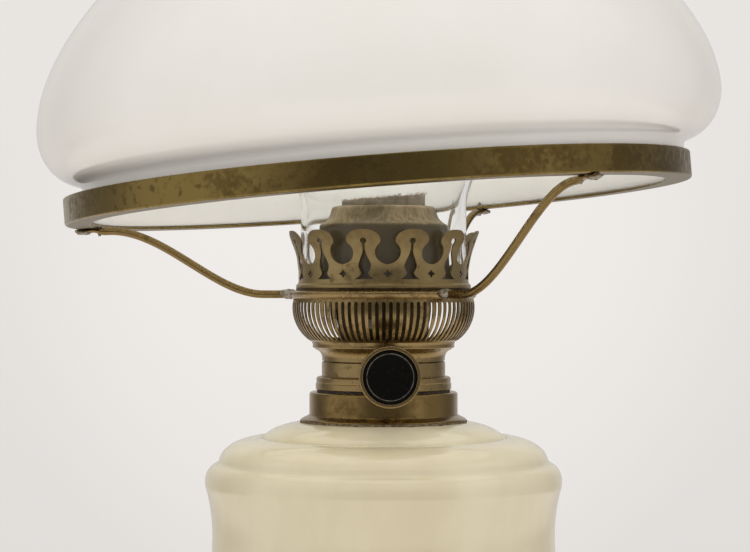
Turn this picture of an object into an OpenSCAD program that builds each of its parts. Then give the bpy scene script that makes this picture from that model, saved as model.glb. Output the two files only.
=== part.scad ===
// Kerosene table lamp: cream glass font, round-wick burner with a slotted basket and a pierced
// crown, clear bulged chimney, and an opal glass shade on a ring carried by three soldered arms.
// Millimetres, +Z up, origin at the middle of the foot, front of the lamp (the knob) towards -Y.

/* [Font] */
// Radius of the foot
foot_r = 65.5; // [58:0.5:75]
// Height of the foot roll
foot_h = 9; // [6:0.5:14]
// Height of the flat seat on top of the glass, where the collar is cemented
font_h = 143.6; // [125:0.2:170]
// Radius of the flat seat on top of the glass
seat_r = 26; // [25.5:0.1:27]
// Radius of the waist in the wall
waist_r = 53.4; // [48:0.1:58]
// Depth of the waist below the seat
waist_drop = 35.1; // [30:0.1:45]
// Radius of the lower shoulder roll
roll_r = 55.7; // [54.5:0.1:60]
// Radius of the upper shoulder roll
shoulder_r = 51.4; // [46:0.1:53]
// Radius of the cove between the inner dome and the upper shoulder roll
cove_r = 38; // [34:0.1:42]
// Glass thickness of the wall
font_wall = 4; // [3:0.1:6]
// Glass thickness of the bottom
font_floor = 6; // [4:0.5:9]

/* [Collar and burner] */
// Outer radius of the brass collar
collar_r = 23.2; // [22.8:0.1:24]
// Height of the collar above the glass
collar_h = 9.4; // [8.5:0.1:12]
// Radius of the flared foot of the collar
collar_foot_r = 25.75; // [24.5:0.05:26]
// Outer radius of the screw skirt of the burner
thread_r = 20; // [19.8:0.05:20.4]
// Length of the screw skirt
thread_h = 7.6; // [5:0.1:8]
// Thickness of the washer between collar and burner
washer_t = 0.7; // [0.5:0.1:1.5]
// Radius of the stepped ledge of the burner
ledge_r = 21.2; // [20.9:0.1:22.5]
// Height of the stepped ledge
ledge_h = 4; // [3.6:0.1:5]
// Radius of the burner body
body_r = 19.3; // [19.2:0.05:20]
// Height of the burner body above the ledge
body_h = 4.7; // [4.2:0.1:7]
// Radius of the spigot that the basket slides over
spigot_r = 18.4; // [18.2:0.05:18.6]
// Height of the spigot
spigot_h = 5.6; // [4:0.1:6.5]
// Thickness of the sheet brass
sheet = 0.7; // [0.5:0.05:0.8]

/* [Wick and its drive] */
// Outer radius of the round wick
wick_r = 13; // [12.6:0.05:13.1]
// Thickness of the wick
wick_t = 1.3; // [1:0.05:1.6]
// Height of the wick above the wick tubes at rest
wick_show = 2.6; // [1:0.1:4]
// How far the wick can be raised from rest
wick_up = 4; // [2:0.5:5]
// How far the wick can be lowered from rest
wick_down = 8; // [5:0.5:8.5]
// Height of the wick tubes above the ledge of the burner
tube_h = 57.2; // [54:0.2:60]
// Thickness of the wick tubes
tube_t = 0.5; // [0.4:0.05:0.6]
// Width of the air duct that crosses the wick at the back
duct_w = 11; // [8:0.5:12]
// Height of the air duct
duct_h = 12; // [8:0.5:13]
// Height of the knob spindle above the bottom of the ledge
spindle_rise = 5.5; // [5.2:0.1:6]
// Radius of the knob spindle
spindle_r = 1.5; // [1.2:0.05:1.8]
// Module of the rack and pinion teeth
tooth_m = 0.8; // [0.7:0.05:0.85]
// Number of teeth on the pinion
pinion_teeth = 8; // [8]
// Radius of the knob
knob_r = 9.2; // [7:0.1:10]
// Depth of the knob
knob_d = 5.4; // [4:0.1:8]
// Distance from the lamp axis to the face of the knob
knob_reach = 42; // [38:0.5:50]

/* [Basket, crown and flame guide] */
// Number of slots round the basket
basket_slots = 84; // [40:1:84]
// Turn of the slots from the +X side, as a share of their pitch
slot_turn = 0.417; // [0:0.001:1]
// Width of a basket slot
slot_w = 1.1; // [0.8:0.05:1.2]
// Height of the cove between the skirt of the basket and its bead
neck_h = 3.8; // [3:0.1:5]
// Radius of the bead under the basket
bead_r = 22.2; // [21.8:0.1:23]
// Height of the bead
bead_h = 2.2; // [1.6:0.1:3]
// Greatest radius of the basket
basket_r = 28.5; // [28.2:0.1:30]
// Radius of the arc of the basket wall, seen from the side
basket_arc = 12.5; // [11:0.1:13]
// Height of the slotted wall
basket_h = 13.5; // [12:0.1:15]
// Outer radius of the carrier ring on the rim of the basket
rim_r = 29.2; // [29:0.1:32]
// Thickness of the carrier ring
rim_h = 2.3; // [1.5:0.1:3]
// Outer radius of the crown at its band
crown_r = 26.6; // [26.4:0.05:27.2]
// Height of the crown
crown_h = 17.8; // [15:0.1:20]
// How far the prong tips spread outwards
crown_flare = 3.5; // [2:0.1:5]
// Number of prongs round the crown
crown_prongs = 12; // [8:1:12]
// Radius of the foot of the flame guide
guide_r = 21; // [20.2:0.1:21.5]
// Height of the flame guide
guide_h = 25.6; // [22:0.1:25.8]

/* [Chimney] */
// Outer radius of the base of the chimney
chimney_r = 25.9; // [24:0.05:26]
// Length of the chimney
chimney_h = 254; // [220:1:300]
// Height at which the chimney begins to flare
flare_h = 25; // [18:0.5:28]
// Greatest radius of the bulge
bulge_r = 33; // [29:0.5:34]
// Height of the bulge
bulge_h = 50; // [40:1:60]
// Height at which the bulge has drawn in to the upper tube
taper_h = 100; // [80:1:105]
// Outer radius of the upper tube
flue_r = 19; // [17.5:0.1:21]
// Glass thickness of the chimney
chimney_wall = 1.6; // [1.2:0.1:2]

/* [Shade and its holder] */
// Height of the middle of the ring above the carrier ring of the basket
ring_rise = 27.0; // [24:0.1:36]
// Lean of ring and shade to the left, seen from the front, in degrees
shade_lean = 4.4; // [0:0.1:5]
// Tip of ring and shade to the back, which lifts the front edge, in degrees
shade_tip = 0.8; // [0:0.1:2]
// Sideways place of the middle of the ring
ring_x = -1.6; // [-2:0.1:0]
// Outer radius of the ring
ring_r = 97.3; // [96.8:0.1:100]
// Height of the ring
ring_h = 8.1; // [7:0.1:9]
// Thickness of the sheet of the ring
ring_t = 0.8; // [0.6:0.1:1]
// Width of the flange that the shade stands on
flange_w = 8.0; // [7:0.1:9]
// Radius of the arm wire
arm_r = 1.25; // [1:0.05:1.4]
// Directions of the left, right and rear arm, in degrees from +X
arm_angles = [170, 306, 64];
// Radius of the neck of the shade
lip_r = 93.3; // [92.8:0.1:93.8]
// Greatest radius of the shade
shade_r = 106.1; // [104:0.1:115]
// Height of the neck of the shade
lip_h = 11.4; // [9.5:0.1:14]
// Height of the rolled lower edge, from the neck to the greatest radius
shade_roll_h = 15.0; // [13:0.1:20]
// Radius of the top opening of the shade
shade_top_r = 35; // [33:0.1:40]
// Height of the dome above the greatest radius
shade_dome_h = 78; // [65:1:95]
// Height of the collar round the top opening
shade_top_h = 9; // [5:0.5:14]
// Glass thickness of the shade
shade_wall = 2.3; // [1.8:0.1:2.4]
// How far the shade sits off the middle of its ring
shade_shift = 2.3; // [0:0.1:2.4]

/* [Hidden] */
$fn = 96;

// Clearances: a loose slide, a running fit, parts that only rest on each other, and a soldered seat
slide = 0.3;
running = 0.05;
rest = 0.05;
seam = 0.02;
// Longer than any cut has to reach
past = 60;

brass = [0.62, 0.50, 0.30];
dull_brass = [0.52, 0.43, 0.28];
cream = [0.93, 0.90, 0.80];
opal = [0.95, 0.95, 0.93];

// Heights of the stack, from the foot upwards
seat_z = font_h;
waist_z = seat_z - waist_drop;
collar_top = seat_z + collar_h;
ledge_z = collar_top + washer_t;
body_z = ledge_z + ledge_h;
step_z = body_z + body_h;
spigot_top = step_z + spigot_h;
skirt_z = step_z + slide;
bead_z = skirt_z + neck_h;
bowl_z = bead_z + bead_h;
rim_z = bowl_z + basket_h;
plate_z = rim_z + rim_h;
crown_z = plate_z + sheet;
spindle_z = ledge_z + spindle_rise;
floor_top = ledge_z + sheet;
tube_top = ledge_z + tube_h;
wick_top = tube_top + wick_show;
ring_z = plate_z + ring_rise;

// Radii of the wick passage, from the inside out
wick_in = wick_r - wick_t;
inner_tube_r = wick_in - slide;
carrier_t = 0.35;
carrier_r = wick_r + seam + carrier_t;
outer_tube_in = carrier_r + slide;
outer_tube_r = outer_tube_in + tube_t;
body_in = body_r - sheet;
spigot_in = spigot_r - sheet;
collar_bore = thread_r + slide;

// Air duct and wick gap
duct_z = spigot_top + 4;
gap_angle = 2 * asin((duct_w / 2 + 1) / wick_in);
gap_top = duct_z + duct_h + wick_down + 1;
wick_foot = font_floor + wick_down + 2;

// Rack and pinion: the rack stands left of the spindle, so the knob raises the wick clockwise
pitch_r = tooth_m * pinion_teeth / 2;
pitch = PI * tooth_m;
tooth_up = 0.6 * tooth_m;
tooth_down = 1.1 * tooth_m;
tooth_half = 0.19 * pitch;
tooth_slope = tan(20);
rack_back = 1.3;
rack_w = 1.5;
rack_y = outer_tube_r + 2 * slide;
pinion_w = rack_w + 2 * slide;
rack_reach = pitch_r + tooth_up + 0.5;
rack_low = spindle_z - wick_up - rack_reach;
rack_high = spindle_z + wick_down + rack_reach;
tab_h = 3;
tab_z = rack_high - tab_h;
carrier_h = 6;

// Knob
bush_r = spindle_r + 0.8;
nut_y = ledge_r + slide;
nut_h = 3;
knob_back = knob_reach - knob_d;
knob_lip = 1.2;
face_depth = 3.6;
spindle_end = knob_reach - face_depth;

// Chimney, and the ledge for a flame disc in the inner tube
chimney_z = crown_z + rest;
// The upper tube is straight from here to the top
flue_h = taper_h + 2;
cup_z = tube_top - 14;

// Shade
shade_n = ring_t + rest;

// Points along a circular or elliptical arc, from angle a0 to a1
function arc(c, rx, rz, a0, a1, n) =
  [for (i = [0:n]) let (a = a0 + (a1 - a0) * i / n) [c[0] + rx * cos(a), c[1] + rz * sin(a)]];
function unit(v) = v / norm(v);
function left_of(p, i) =
  let (d = unit(p[min(i + 1, len(p) - 1)] - p[max(i - 1, 0)])) [-d[1], d[0]];
// A wall of thickness t on the left of an outline
function wall(p, t) = concat(p, [for (i = [len(p) - 1:-1:0]) p[i] + t * left_of(p, i)]);
function mirrored(p) = [for (i = [len(p) - 1:-1:0]) [-p[i][0], p[i][1]]];
function smooth(t) = let (u = min(max(t, 0), 1)) u * u * (3 - 2 * u);

module turned(points) rotate_extrude() polygon(points);
module ring(r_in, r_out, z, h) {
  translate([0, 0, z]) difference() {
    cylinder(r = r_out, h = h);
    translate([0, 0, -h]) cylinder(r = r_in, h = 3 * h);
  }
}
// Along the knob spindle: z of the children becomes the distance from the lamp axis to the front
module on_spindle(reach) translate([0, 0, spindle_z]) rotate([90, 0, 0]) translate([0, 0, reach]) children();
// In the leaning frame of the shade ring, whose origin is the middle of its bottom plane
module on_ring() translate([ring_x, 0, ring_z]) rotate([-shade_tip, -shade_lean, 0]) children();

// Font

roll_round = 4.4;
roll_up = 5.7;
roll_z = seat_z - 18.4;
shoulder_z = seat_z - 12.4;
cove_z = seat_z - 6.1;
wall_bend = 0.009;
wall_run = 11;
foot_step = 2.4;
foot_round = 3;
function wall_r(z) =
  let (d = abs(z - waist_z)) waist_r + wall_bend * d * d / (z < waist_z ? 1 + d / wall_run : 1);
font_outline = concat(
  [[0, 0], [foot_r - foot_round, 0]],
  arc([foot_r - foot_round, foot_round], foot_round, foot_round, -60, 0, 3),
  arc([foot_r - foot_round, foot_h - foot_round], foot_round, foot_round, 0, 75, 4),
  [[wall_r(foot_h + foot_step) + 0.4, foot_h + 0.4]],
  [for (i = [0:14]) let (z = foot_h + foot_step + (roll_z - 3 - foot_h - foot_step) * i / 14) [wall_r(z), z]],
  arc([roll_r - roll_round, roll_z], roll_round, roll_up, -25, 85, 7),
  arc([cove_r, shoulder_z], shoulder_r - cove_r, cove_z - shoulder_z + 1.4, 4, 88, 9),
  arc([seat_r - 6, cove_z], cove_r - seat_r + 6, (seat_z - cove_z) / cos(asin(6 / (cove_r - seat_r + 6))),
    3, acos(6 / (cove_r - seat_r + 6)), 6)
);
font_inside = [
  [collar_bore, seat_z],
  [collar_bore, seat_z - font_wall],
  [shoulder_r - font_wall - 2, shoulder_z + 1.5],
  [waist_r - font_wall, roll_z - 8],
  [waist_r - font_wall, waist_z - 10],
  [wall_r(foot_h + foot_step) - font_wall, foot_h + foot_step + 4],
  [wall_r(foot_h + foot_step) - font_wall - 5, font_floor],
  [0, font_floor]
];
module font_glass() color(cream) turned(concat(font_outline, font_inside));

collar_t = 0.8;
cement_lip = 0.5;
module font_collar() {
  color(brass) turned([
    [collar_bore, seat_z + cement_lip + 0.6],
    [collar_bore, collar_top],
    [collar_r - 1.2, collar_top],
    [collar_r - 0.35, collar_top - 0.35],
    [collar_r, collar_top - 1.2],
    [collar_r, seat_z + 2.2],
    [collar_r + 0.4, seat_z + 1.6],
    [collar_foot_r, seat_z + cement_lip + 0.3],
    [collar_foot_r, seat_z + cement_lip],
    [collar_r - collar_t, seat_z + 2.1],
    [collar_r - collar_t, collar_top - collar_t],
    [collar_bore + collar_t, collar_top - collar_t],
    [collar_bore + collar_t, seat_z + cement_lip + 0.6]
  ]);
}

module collar_cement() {
  color([0.55, 0.47, 0.38]) turned([
    [collar_bore + collar_t + seam, seat_z],
    [collar_foot_r, seat_z],
    [collar_foot_r - 0.2, seat_z + cement_lip - seam],
    [collar_r - collar_t - seam, seat_z + 1.8],
    [collar_r - collar_t - seam, collar_top - collar_t - seam],
    [collar_bore + collar_t + seam, collar_top - collar_t - seam]
  ]);
}

module collar_washer() color([0.20, 0.16, 0.12]) ring(collar_bore, ledge_r - 0.4, collar_top, washer_t);

// Burner

rack_slot_x = pitch_r + tooth_down + rack_back + slide;
module rack_passage() {
  translate([-rack_slot_x, -rack_y - rack_w - slide, ledge_z - past])
    cube([rack_slot_x - pitch_r + tooth_up + slide, rack_w + 2 * slide, 2 * past]);
}

module burner_base() {
  color(dull_brass) difference() {
    turned([
      [thread_r - sheet, ledge_z - thread_h],
      [thread_r, ledge_z - thread_h],
      [thread_r, ledge_z],
      [body_in - seam, ledge_z],
      [body_in - seam, floor_top],
      [outer_tube_r + seam, floor_top],
      [outer_tube_r + seam, ledge_z - sheet],
      [thread_r - sheet, ledge_z - sheet]
    ]);
    rack_passage();
  }
}

ledge_groove = 0.5;
module burner_body() {
  color(brass) difference() {
    turned([
      [body_in, ledge_z],
      [ledge_r, ledge_z],
      [ledge_r, ledge_z + 1.6],
      [ledge_r - ledge_groove, ledge_z + 1.9],
      [ledge_r - ledge_groove, ledge_z + 2.3],
      [ledge_r, ledge_z + 2.6],
      [ledge_r, body_z - 0.5],
      [ledge_r - 0.5, body_z],
      [body_r, body_z],
      [body_r, step_z - 0.4],
      [body_r - 0.4, step_z],
      [spigot_r, step_z],
      [spigot_r, spigot_top],
      [spigot_in, spigot_top],
      [spigot_in, step_z - 0.4],
      [body_in, step_z - 1]
    ]);
    on_spindle(0) cylinder(r = bush_r, h = past);
  }
}

tab_w = 1.2;
tab_x = -(pitch_r + tooth_down + rack_back / 2);
module outer_wick_tube() {
  color(dull_brass) difference() {
    ring(outer_tube_in, outer_tube_r, ledge_z, tube_h);
    translate([tab_x - tab_w / 2 - slide, -outer_tube_r - 1, tab_z - wick_down - slide])
      cube([tab_w + 2 * slide, outer_tube_r / 2, tab_h + wick_up + wick_down + 2 * slide]);
    duct_window();
  }
}

module duct_window() {
  translate([-duct_w / 2 + tube_t, 0, duct_z + tube_t])
    cube([duct_w - 2 * tube_t, past, duct_h - 2 * tube_t]);
}

cup_ledge = 0.9;
module inner_wick_tube() {
  bottom = duct_z - 1;
  color(dull_brass) difference() {
    turned([
      [0, bottom],
      [inner_tube_r, bottom],
      [inner_tube_r, tube_top],
      [inner_tube_r - tube_t, tube_top],
      [inner_tube_r - tube_t, cup_z],
      [inner_tube_r - tube_t - cup_ledge, cup_z],
      [inner_tube_r - tube_t - cup_ledge, cup_z - tube_t],
      [inner_tube_r - tube_t, cup_z - tube_t - cup_ledge],
      [inner_tube_r - tube_t, bottom + tube_t],
      [0, bottom + tube_t]
    ]);
    duct_window();
  }
}

module air_duct() {
  color(dull_brass) difference() {
    intersection() {
      translate([-duct_w / 2, 0, duct_z]) cube([duct_w, past, duct_h]);
      ring(inner_tube_r + seam, outer_tube_in - seam, duct_z - 1, duct_h + 2);
    }
    duct_window();
  }
}

module spindle_bush() {
  color(brass) difference() {
    on_spindle(body_in - 0.4) cylinder(r = bush_r - seam, h = nut_y + nut_h + 1 - body_in);
    on_spindle(0) cylinder(r = spindle_r + running, h = past);
  }
}

module gland_nut() {
  color(brass) difference() {
    on_spindle(nut_y) cylinder(r = bush_r + 1.4, h = nut_h, $fn = 6);
    on_spindle(0) cylinder(r = bush_r, h = past);
  }
}

// Knob and wick drive

pinion_y = rack_y - slide;
module wick_spindle() {
  color(dull_brass) on_spindle(pinion_y) cylinder(r = spindle_r, h = spindle_end - pinion_y);
}

// A trapezoid tooth on the pitch line, pointing along +X
function tooth(x, y, up, down) = [
  [x - down, y - tooth_half - down * tooth_slope],
  [x + up, y - tooth_half + up * tooth_slope],
  [x + up, y + tooth_half - up * tooth_slope],
  [x - down, y + tooth_half + down * tooth_slope]
];

module pinion() {
  color(dull_brass) on_spindle(pinion_y) linear_extrude(pinion_w) difference() {
    union() {
      circle(r = pitch_r - tooth_down);
      for (i = [0:pinion_teeth - 1]) rotate(i * 360 / pinion_teeth)
        polygon(tooth(pitch_r, 0, tooth_up, tooth_down + 0.4));
    }
    circle(r = spindle_r + seam);
  }
}

module wick_rack() {
  first = ceil((rack_low + tooth_half * 2 - spindle_z) / pitch - 0.5);
  last = floor((rack_high - tooth_half * 2 - spindle_z) / pitch - 0.5);
  root = -pitch_r - tooth_down;
  color(dull_brass) {
    translate([0, -rack_y, 0]) rotate([90, 0, 0]) linear_extrude(rack_w) union() {
      translate([root - rack_back, rack_low]) square([rack_back, rack_high - rack_low]);
      for (i = [first:last])
        polygon(tooth(-pitch_r, spindle_z + (i + 0.5) * pitch, tooth_up, tooth_down + 0.2));
    }
    difference() {
      translate([tab_x - tab_w / 2, -rack_y - rack_w / 2, tab_z]) cube([tab_w, rack_y, tab_h]);
      cylinder(r = carrier_r + seam, h = 2 * wick_top);
    }
  }
}

module gap_at_back(h) {
  reach = 2 * wick_r;
  linear_extrude(h) polygon([
    [0, 0],
    [reach * tan(gap_angle / 2), reach],
    [-reach * tan(gap_angle / 2), reach]
  ]);
}

module wick_carrier() {
  color(dull_brass) difference() {
    ring(wick_r + seam, carrier_r, tab_z - (carrier_h - tab_h) / 2, carrier_h);
    gap_at_back(2 * wick_top);
  }
}

module wick() {
  color([0.80, 0.77, 0.70]) difference() {
    ring(wick_in, wick_r, wick_foot, wick_top - wick_foot);
    gap_at_back(gap_top);
  }
}

module knob_cup() {
  color(brass) difference() {
    on_spindle(knob_back) turned([
      [0, -2.6],
      [spindle_r + 2.2, -2.6],
      [spindle_r + 2.4, 0],
      [knob_r - 1.2, 0],
      [knob_r, 1],
      [knob_r, knob_d - 0.3],
      [knob_r - 0.3, knob_d],
      [knob_r - knob_lip, knob_d],
      [knob_r - knob_lip, knob_d - face_depth],
      [0, knob_d - face_depth]
    ]);
    on_spindle(0) cylinder(r = spindle_r + seam, h = knob_reach);
  }
}

module knob_face() {
  face_r = knob_r - knob_lip - seam;
  color([0.06, 0.06, 0.07]) on_spindle(knob_reach - face_depth + seam) turned([
    [0, 0],
    [face_r, 0],
    [face_r, face_depth - 0.7],
    [face_r * 0.92, face_depth - 0.7],
    [face_r * 0.89, face_depth - 0.2],
    [face_r * 0.83, face_depth - 0.2],
    [face_r * 0.8, face_depth - 0.6],
    [0, face_depth - 0.6]
  ]);
}

// Gallery: basket, crown, flame guide

skirt_in = spigot_r + 2 * running;
module basket() {
  arc_c = [basket_r - basket_arc, rim_z - 3];
  foot_a = asin((bowl_z - arc_c[1]) / basket_arc);
  rim_a = asin((rim_z - arc_c[1]) / basket_arc);
  bars = arc(arc_c, basket_arc, basket_arc, foot_a, rim_a, 5);
  color(brass) difference() {
    turned(concat(
      [[skirt_in, skirt_z], [skirt_in + sheet, skirt_z]],
      arc([skirt_in + sheet + 2.2, skirt_z + 0.6], 2.2, neck_h - 1, 180, 100, 3),
      [[bead_r - 0.7, bead_z], [bead_r, bead_z + 0.7], [bead_r, bowl_z - 0.7], [bead_r - 0.4, bowl_z - 0.2]],
      bars,
      [for (i = [len(bars) - 1:-1:0]) bars[i] + sheet * left_of(bars, i)],
      [[skirt_in + 0.5, bead_z + 0.6], [skirt_in, bead_z - 0.4]]
    ));
    for (i = [0:basket_slots - 1]) rotate((i + slot_turn) * 360 / basket_slots)
      translate([spigot_r, -slot_w / 2, bowl_z + 0.4]) cube([past, slot_w, basket_h - 1.4]);
  }
}

module carrier_ring() {
  inner = basket_r - sheet - 1;
  color(brass) turned([
    [inner, rim_z],
    [rim_r - 0.5, rim_z],
    [rim_r, rim_z + 0.5],
    [rim_r, plate_z - 0.6],
    [rim_r - 0.6, plate_z],
    [inner, plate_z]
  ]);
}

air_holes = 24;
air_hole_r = 1.2;
crown_in = crown_r - sheet * 0.7;
module gallery_plate() {
  color(dull_brass) difference() {
    ring(guide_r - 1.4, crown_r + 0.8, plate_z, sheet);
    for (i = [0:air_holes - 1]) rotate(i * 360 / air_holes)
      translate([guide_r + 1.75, 0, plate_z - 1]) cylinder(r = air_hole_r, h = 3);
  }
}

// Crown: a flared band with open ovals between the prongs, a diamond under each oval and a bell
// shaped opening in each prong
band_h = 5;
crown_step = 360 / crown_prongs;
crown_pitch = 2 * PI * crown_r / crown_prongs;
function crown_at(h) = crown_r + crown_flare * pow(max(h - band_h, 0) / (crown_h - band_h), 1.5);
module oval_cut() {
  gap = crown_pitch * 0.27;
  mouth = crown_pitch * 0.15;
  translate([0, 10.9]) circle(r = gap);
  half = [[mouth, 12], [mouth + 0.2, 14], [gap * 1.1, crown_h + 1]];
  polygon(concat(half, mirrored(half)));
}
module bell_cut() {
  base = crown_pitch * 0.2;
  half = [[base, 2.6], [1, 4], [1, 4.6], [base * 0.7, 6], [0.35, 11], [0.35, 14]];
  polygon(concat(half, mirrored(half)));
  translate([0, 14]) circle(r = 0.9);
}
module diamond_cut() polygon([[-1.1, 4.3], [0, 3.3], [1.1, 4.3], [0, 5.3]]);
module crown() {
  outline = concat(
    [[crown_in + 0.5, crown_z], [crown_r + 0.7, crown_z + 0.4]],
    [[crown_r + 0.7, crown_z + 1], [crown_r, crown_z + 1.5]],
    [for (i = [0:6]) let (h = band_h + (crown_h - band_h) * i / 6) [crown_at(h), crown_z + h]]
  );
  inside = [for (i = [6:-1:0]) let (h = band_h + (crown_h - band_h) * i / 6)
    [crown_at(h) - crown_r + crown_in, crown_z + h]];
  color(brass) difference() {
    turned(concat(outline, inside, [[crown_in, crown_z]]));
    for (i = [0:crown_prongs - 1]) rotate(i * crown_step - 90) translate([0, 0, crown_z]) {
      rotate([90, 0, 90]) linear_extrude(past) oval_cut();
      rotate([90, 0, 90]) linear_extrude(past) diamond_cut();
      rotate(crown_step / 2) rotate([90, 0, 90]) linear_extrude(past) bell_cut();
    }
  }
}

module flame_guide() {
  guide_t = 0.5;
  hole = outer_tube_r + slide;
  top = crown_z + guide_h;
  outline = concat(
    [[guide_r, crown_z + 0.6], [guide_r - 0.5, crown_z + guide_h * 0.4], [guide_r - 1.2, top - 6.2]],
    arc([guide_r - 1.2, top - 1.7], guide_r - 1.2 - hole - 1.6, 4, -100, -175, 4),
    [[hole + 1, top - 0.3], [hole, top]]
  );
  color(dull_brass) union() {
    turned(wall(outline, guide_t));
    ring(guide_r - guide_t - 0.3, guide_r + 0.4, crown_z, 0.8);
  }
}

// Shade ring and its arms

module shade_ring() {
  color(brass) on_ring() turned([
    [ring_r - flange_w, 0],
    [ring_r - 0.5, 0],
    [ring_r, 0.5],
    [ring_r, ring_h - 0.4],
    [ring_r - 0.4, ring_h],
    [ring_r - ring_t, ring_h],
    [ring_r - ring_t, ring_t],
    [ring_r - flange_w, ring_t]
  ]);
}

// An arm is a wire that leaves the carrier ring level, rises in an S and ends in a flattened foot
// under the flange of the shade ring
arm_rings = 18;
arm_sides = 10;
function ring_point(angle, r) =
  let (x = r * cos(angle), y = r * sin(angle) * cos(shade_tip), z = -r * sin(angle) * sin(shade_tip))
  [
    ring_x + x * cos(shade_lean) - z * sin(shade_lean),
    y,
    ring_z + x * sin(shade_lean) + z * cos(shade_lean)
  ];
function ring_height(p) =
  ring_z + (p[0] - ring_x) * tan(shade_lean) - p[1] * tan(shade_tip) / cos(shade_lean);
function flat(r) = smooth((r - (ring_r - flange_w - 1.5)) / 4);
function arm_half(r) = arm_r * (1 - 0.45 * flat(r));
function arm_centre(angle, s) =
  let (
    start = [(rim_r + seam) * cos(angle), (rim_r + seam) * sin(angle), rim_z + rim_h / 2],
    end = ring_point(angle, ring_r - 0.4),
    p = start + (end - start) * s,
    r = norm([p[0] - ring_x, p[1]]),
    under = ring_height(p) - (arm_half(r) + seam) / cos(shade_lean) / cos(shade_tip),
    lift = smooth((s - 0.13) / 0.74)
  ) [p[0], p[1], start[2] + (under - start[2]) * lift];
module arm(i) {
  angle = arm_angles[i];
  centres = [for (k = [0:arm_rings]) arm_centre(angle, k / arm_rings)];
  across = unit([-(centres[arm_rings][1] - centres[0][1]), centres[arm_rings][0] - centres[0][0], 0]);
  points = [for (k = [0:arm_rings])
    let (
      along = unit(centres[min(k + 1, arm_rings)] - centres[max(k - 1, 0)]),
      up = cross(along, across),
      r = norm([centres[k][0] - ring_x, centres[k][1]]),
      w = arm_r * (1 + 0.5 * flat(r)),
      h = arm_half(r)
    )
    for (j = [0:arm_sides - 1])
      centres[k] + w * cos((j + 0.5) * 360 / arm_sides) * across + h * sin((j + 0.5) * 360 / arm_sides) * up];
  last = arm_rings * arm_sides;
  faces = concat(
    [[for (j = [arm_sides - 1:-1:0]) j]],
    [for (k = [0:arm_rings - 1]) for (j = [0:arm_sides - 1])
      let (a = k * arm_sides + j, b = k * arm_sides + (j + 1) % arm_sides)
        [a, b, b + arm_sides, a + arm_sides]],
    [[for (j = [0:arm_sides - 1]) last + j]]
  );
  color(brass) polyhedron(points, faces, convexity = 4);
}
module arm_left() arm(0);
module arm_right() arm(1);
module arm_rear() arm(2);

// Glass

dome_power = 1.85;
dome_steps = 9;
module shade() {
  bulge_n = lip_h + shade_roll_h;
  top_n = bulge_n + shade_dome_h;
  outline = concat(
    [[lip_r - 0.6, 0], [lip_r, 0.8], [lip_r, lip_h]],
    arc([lip_r, bulge_n], shade_r - lip_r, shade_roll_h, -84, 0, 6),
    [for (i = [1:dome_steps]) let (t = i / dome_steps)
      [shade_r - (shade_r - shade_top_r) * pow(t, dome_power), bulge_n + shade_dome_h * t]],
    [[shade_top_r, top_n + 1], [shade_top_r, top_n + shade_top_h]]
  );
  color(opal) on_ring() translate([shade_shift, 0, shade_n]) turned(wall(outline, shade_wall));
}

module chimney() {
  outline = concat(
    [[chimney_r, 0]],
    [for (i = [0:6]) let (t = i / 6)
      [chimney_r + (bulge_r - chimney_r) * smooth(t), flare_h + (bulge_h - flare_h) * t]],
    [for (i = [1:8]) let (t = i / 8)
      [bulge_r + (flue_r - bulge_r) * smooth(t), bulge_h + (taper_h - bulge_h) * t]],
    [[flue_r, flue_h], [flue_r, chimney_h]]
  );
  color([0.85, 0.92, 0.95, 0.35]) translate([0, 0, chimney_z]) turned(wall(outline, chimney_wall));
}

font_glass();
collar_cement();
font_collar();
collar_washer();
burner_base();
burner_body();
outer_wick_tube();
inner_wick_tube();
air_duct();
spindle_bush();
gland_nut();
wick_spindle();
pinion();
knob_cup();
knob_face();
wick();
wick_carrier();
wick_rack();
basket();
carrier_ring();
gallery_plate();
crown();
flame_guide();
arm_left();
arm_right();
arm_rear();
shade_ring();
shade();
chimney();
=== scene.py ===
# %% [markdown]
# # A kerosene table lamp, dressed around its solids
# The solids already hold every size of the lamp: where the glass font ends, how high the burner
# stands, how far the shade leans. This lesson gives them their looks. Pieces that show are built
# again as finer meshes in the same place, and all of them get finishes made of nodes.
# Sizes below are in millimetres and become metres when a mesh is made.

# %% Load the solids
import math

import bpy
import numpy as np
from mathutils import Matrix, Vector
from mathutils.geometry import delaunay_2d_cdt


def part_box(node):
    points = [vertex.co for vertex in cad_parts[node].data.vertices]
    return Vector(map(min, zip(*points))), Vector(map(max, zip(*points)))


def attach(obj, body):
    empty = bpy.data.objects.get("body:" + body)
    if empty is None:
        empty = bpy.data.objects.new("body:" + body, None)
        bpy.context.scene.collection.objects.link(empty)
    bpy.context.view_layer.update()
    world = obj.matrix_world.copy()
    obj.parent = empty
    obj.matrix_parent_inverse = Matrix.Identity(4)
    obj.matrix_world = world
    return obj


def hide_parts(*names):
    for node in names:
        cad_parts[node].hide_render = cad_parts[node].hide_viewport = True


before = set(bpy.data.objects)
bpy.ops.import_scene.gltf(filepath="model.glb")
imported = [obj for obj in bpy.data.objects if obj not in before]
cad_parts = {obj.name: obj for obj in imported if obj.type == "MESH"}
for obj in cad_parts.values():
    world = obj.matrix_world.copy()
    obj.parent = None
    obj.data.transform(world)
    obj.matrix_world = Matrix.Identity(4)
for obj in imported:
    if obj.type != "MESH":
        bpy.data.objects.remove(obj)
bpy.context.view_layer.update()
MM = 0.001


def low(node):
    """Height of the lowest point of a solid."""
    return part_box(node)[0].z / MM


def high(node):
    """Height of the highest point of a solid."""
    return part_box(node)[1].z / MM


print("solids:", len(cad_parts), "height:", round(high("chimney"), 1), "mm")

# %% [markdown]
# ## The camera
# The picture was taken level with the burner, from about 0.6 m: the underside of the shade ring is
# just seen and the crown is seen edge on. A focal length in pixels fixes the lens whatever the
# render size, and the small upward tilt puts the horizon a little below the middle.

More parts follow.
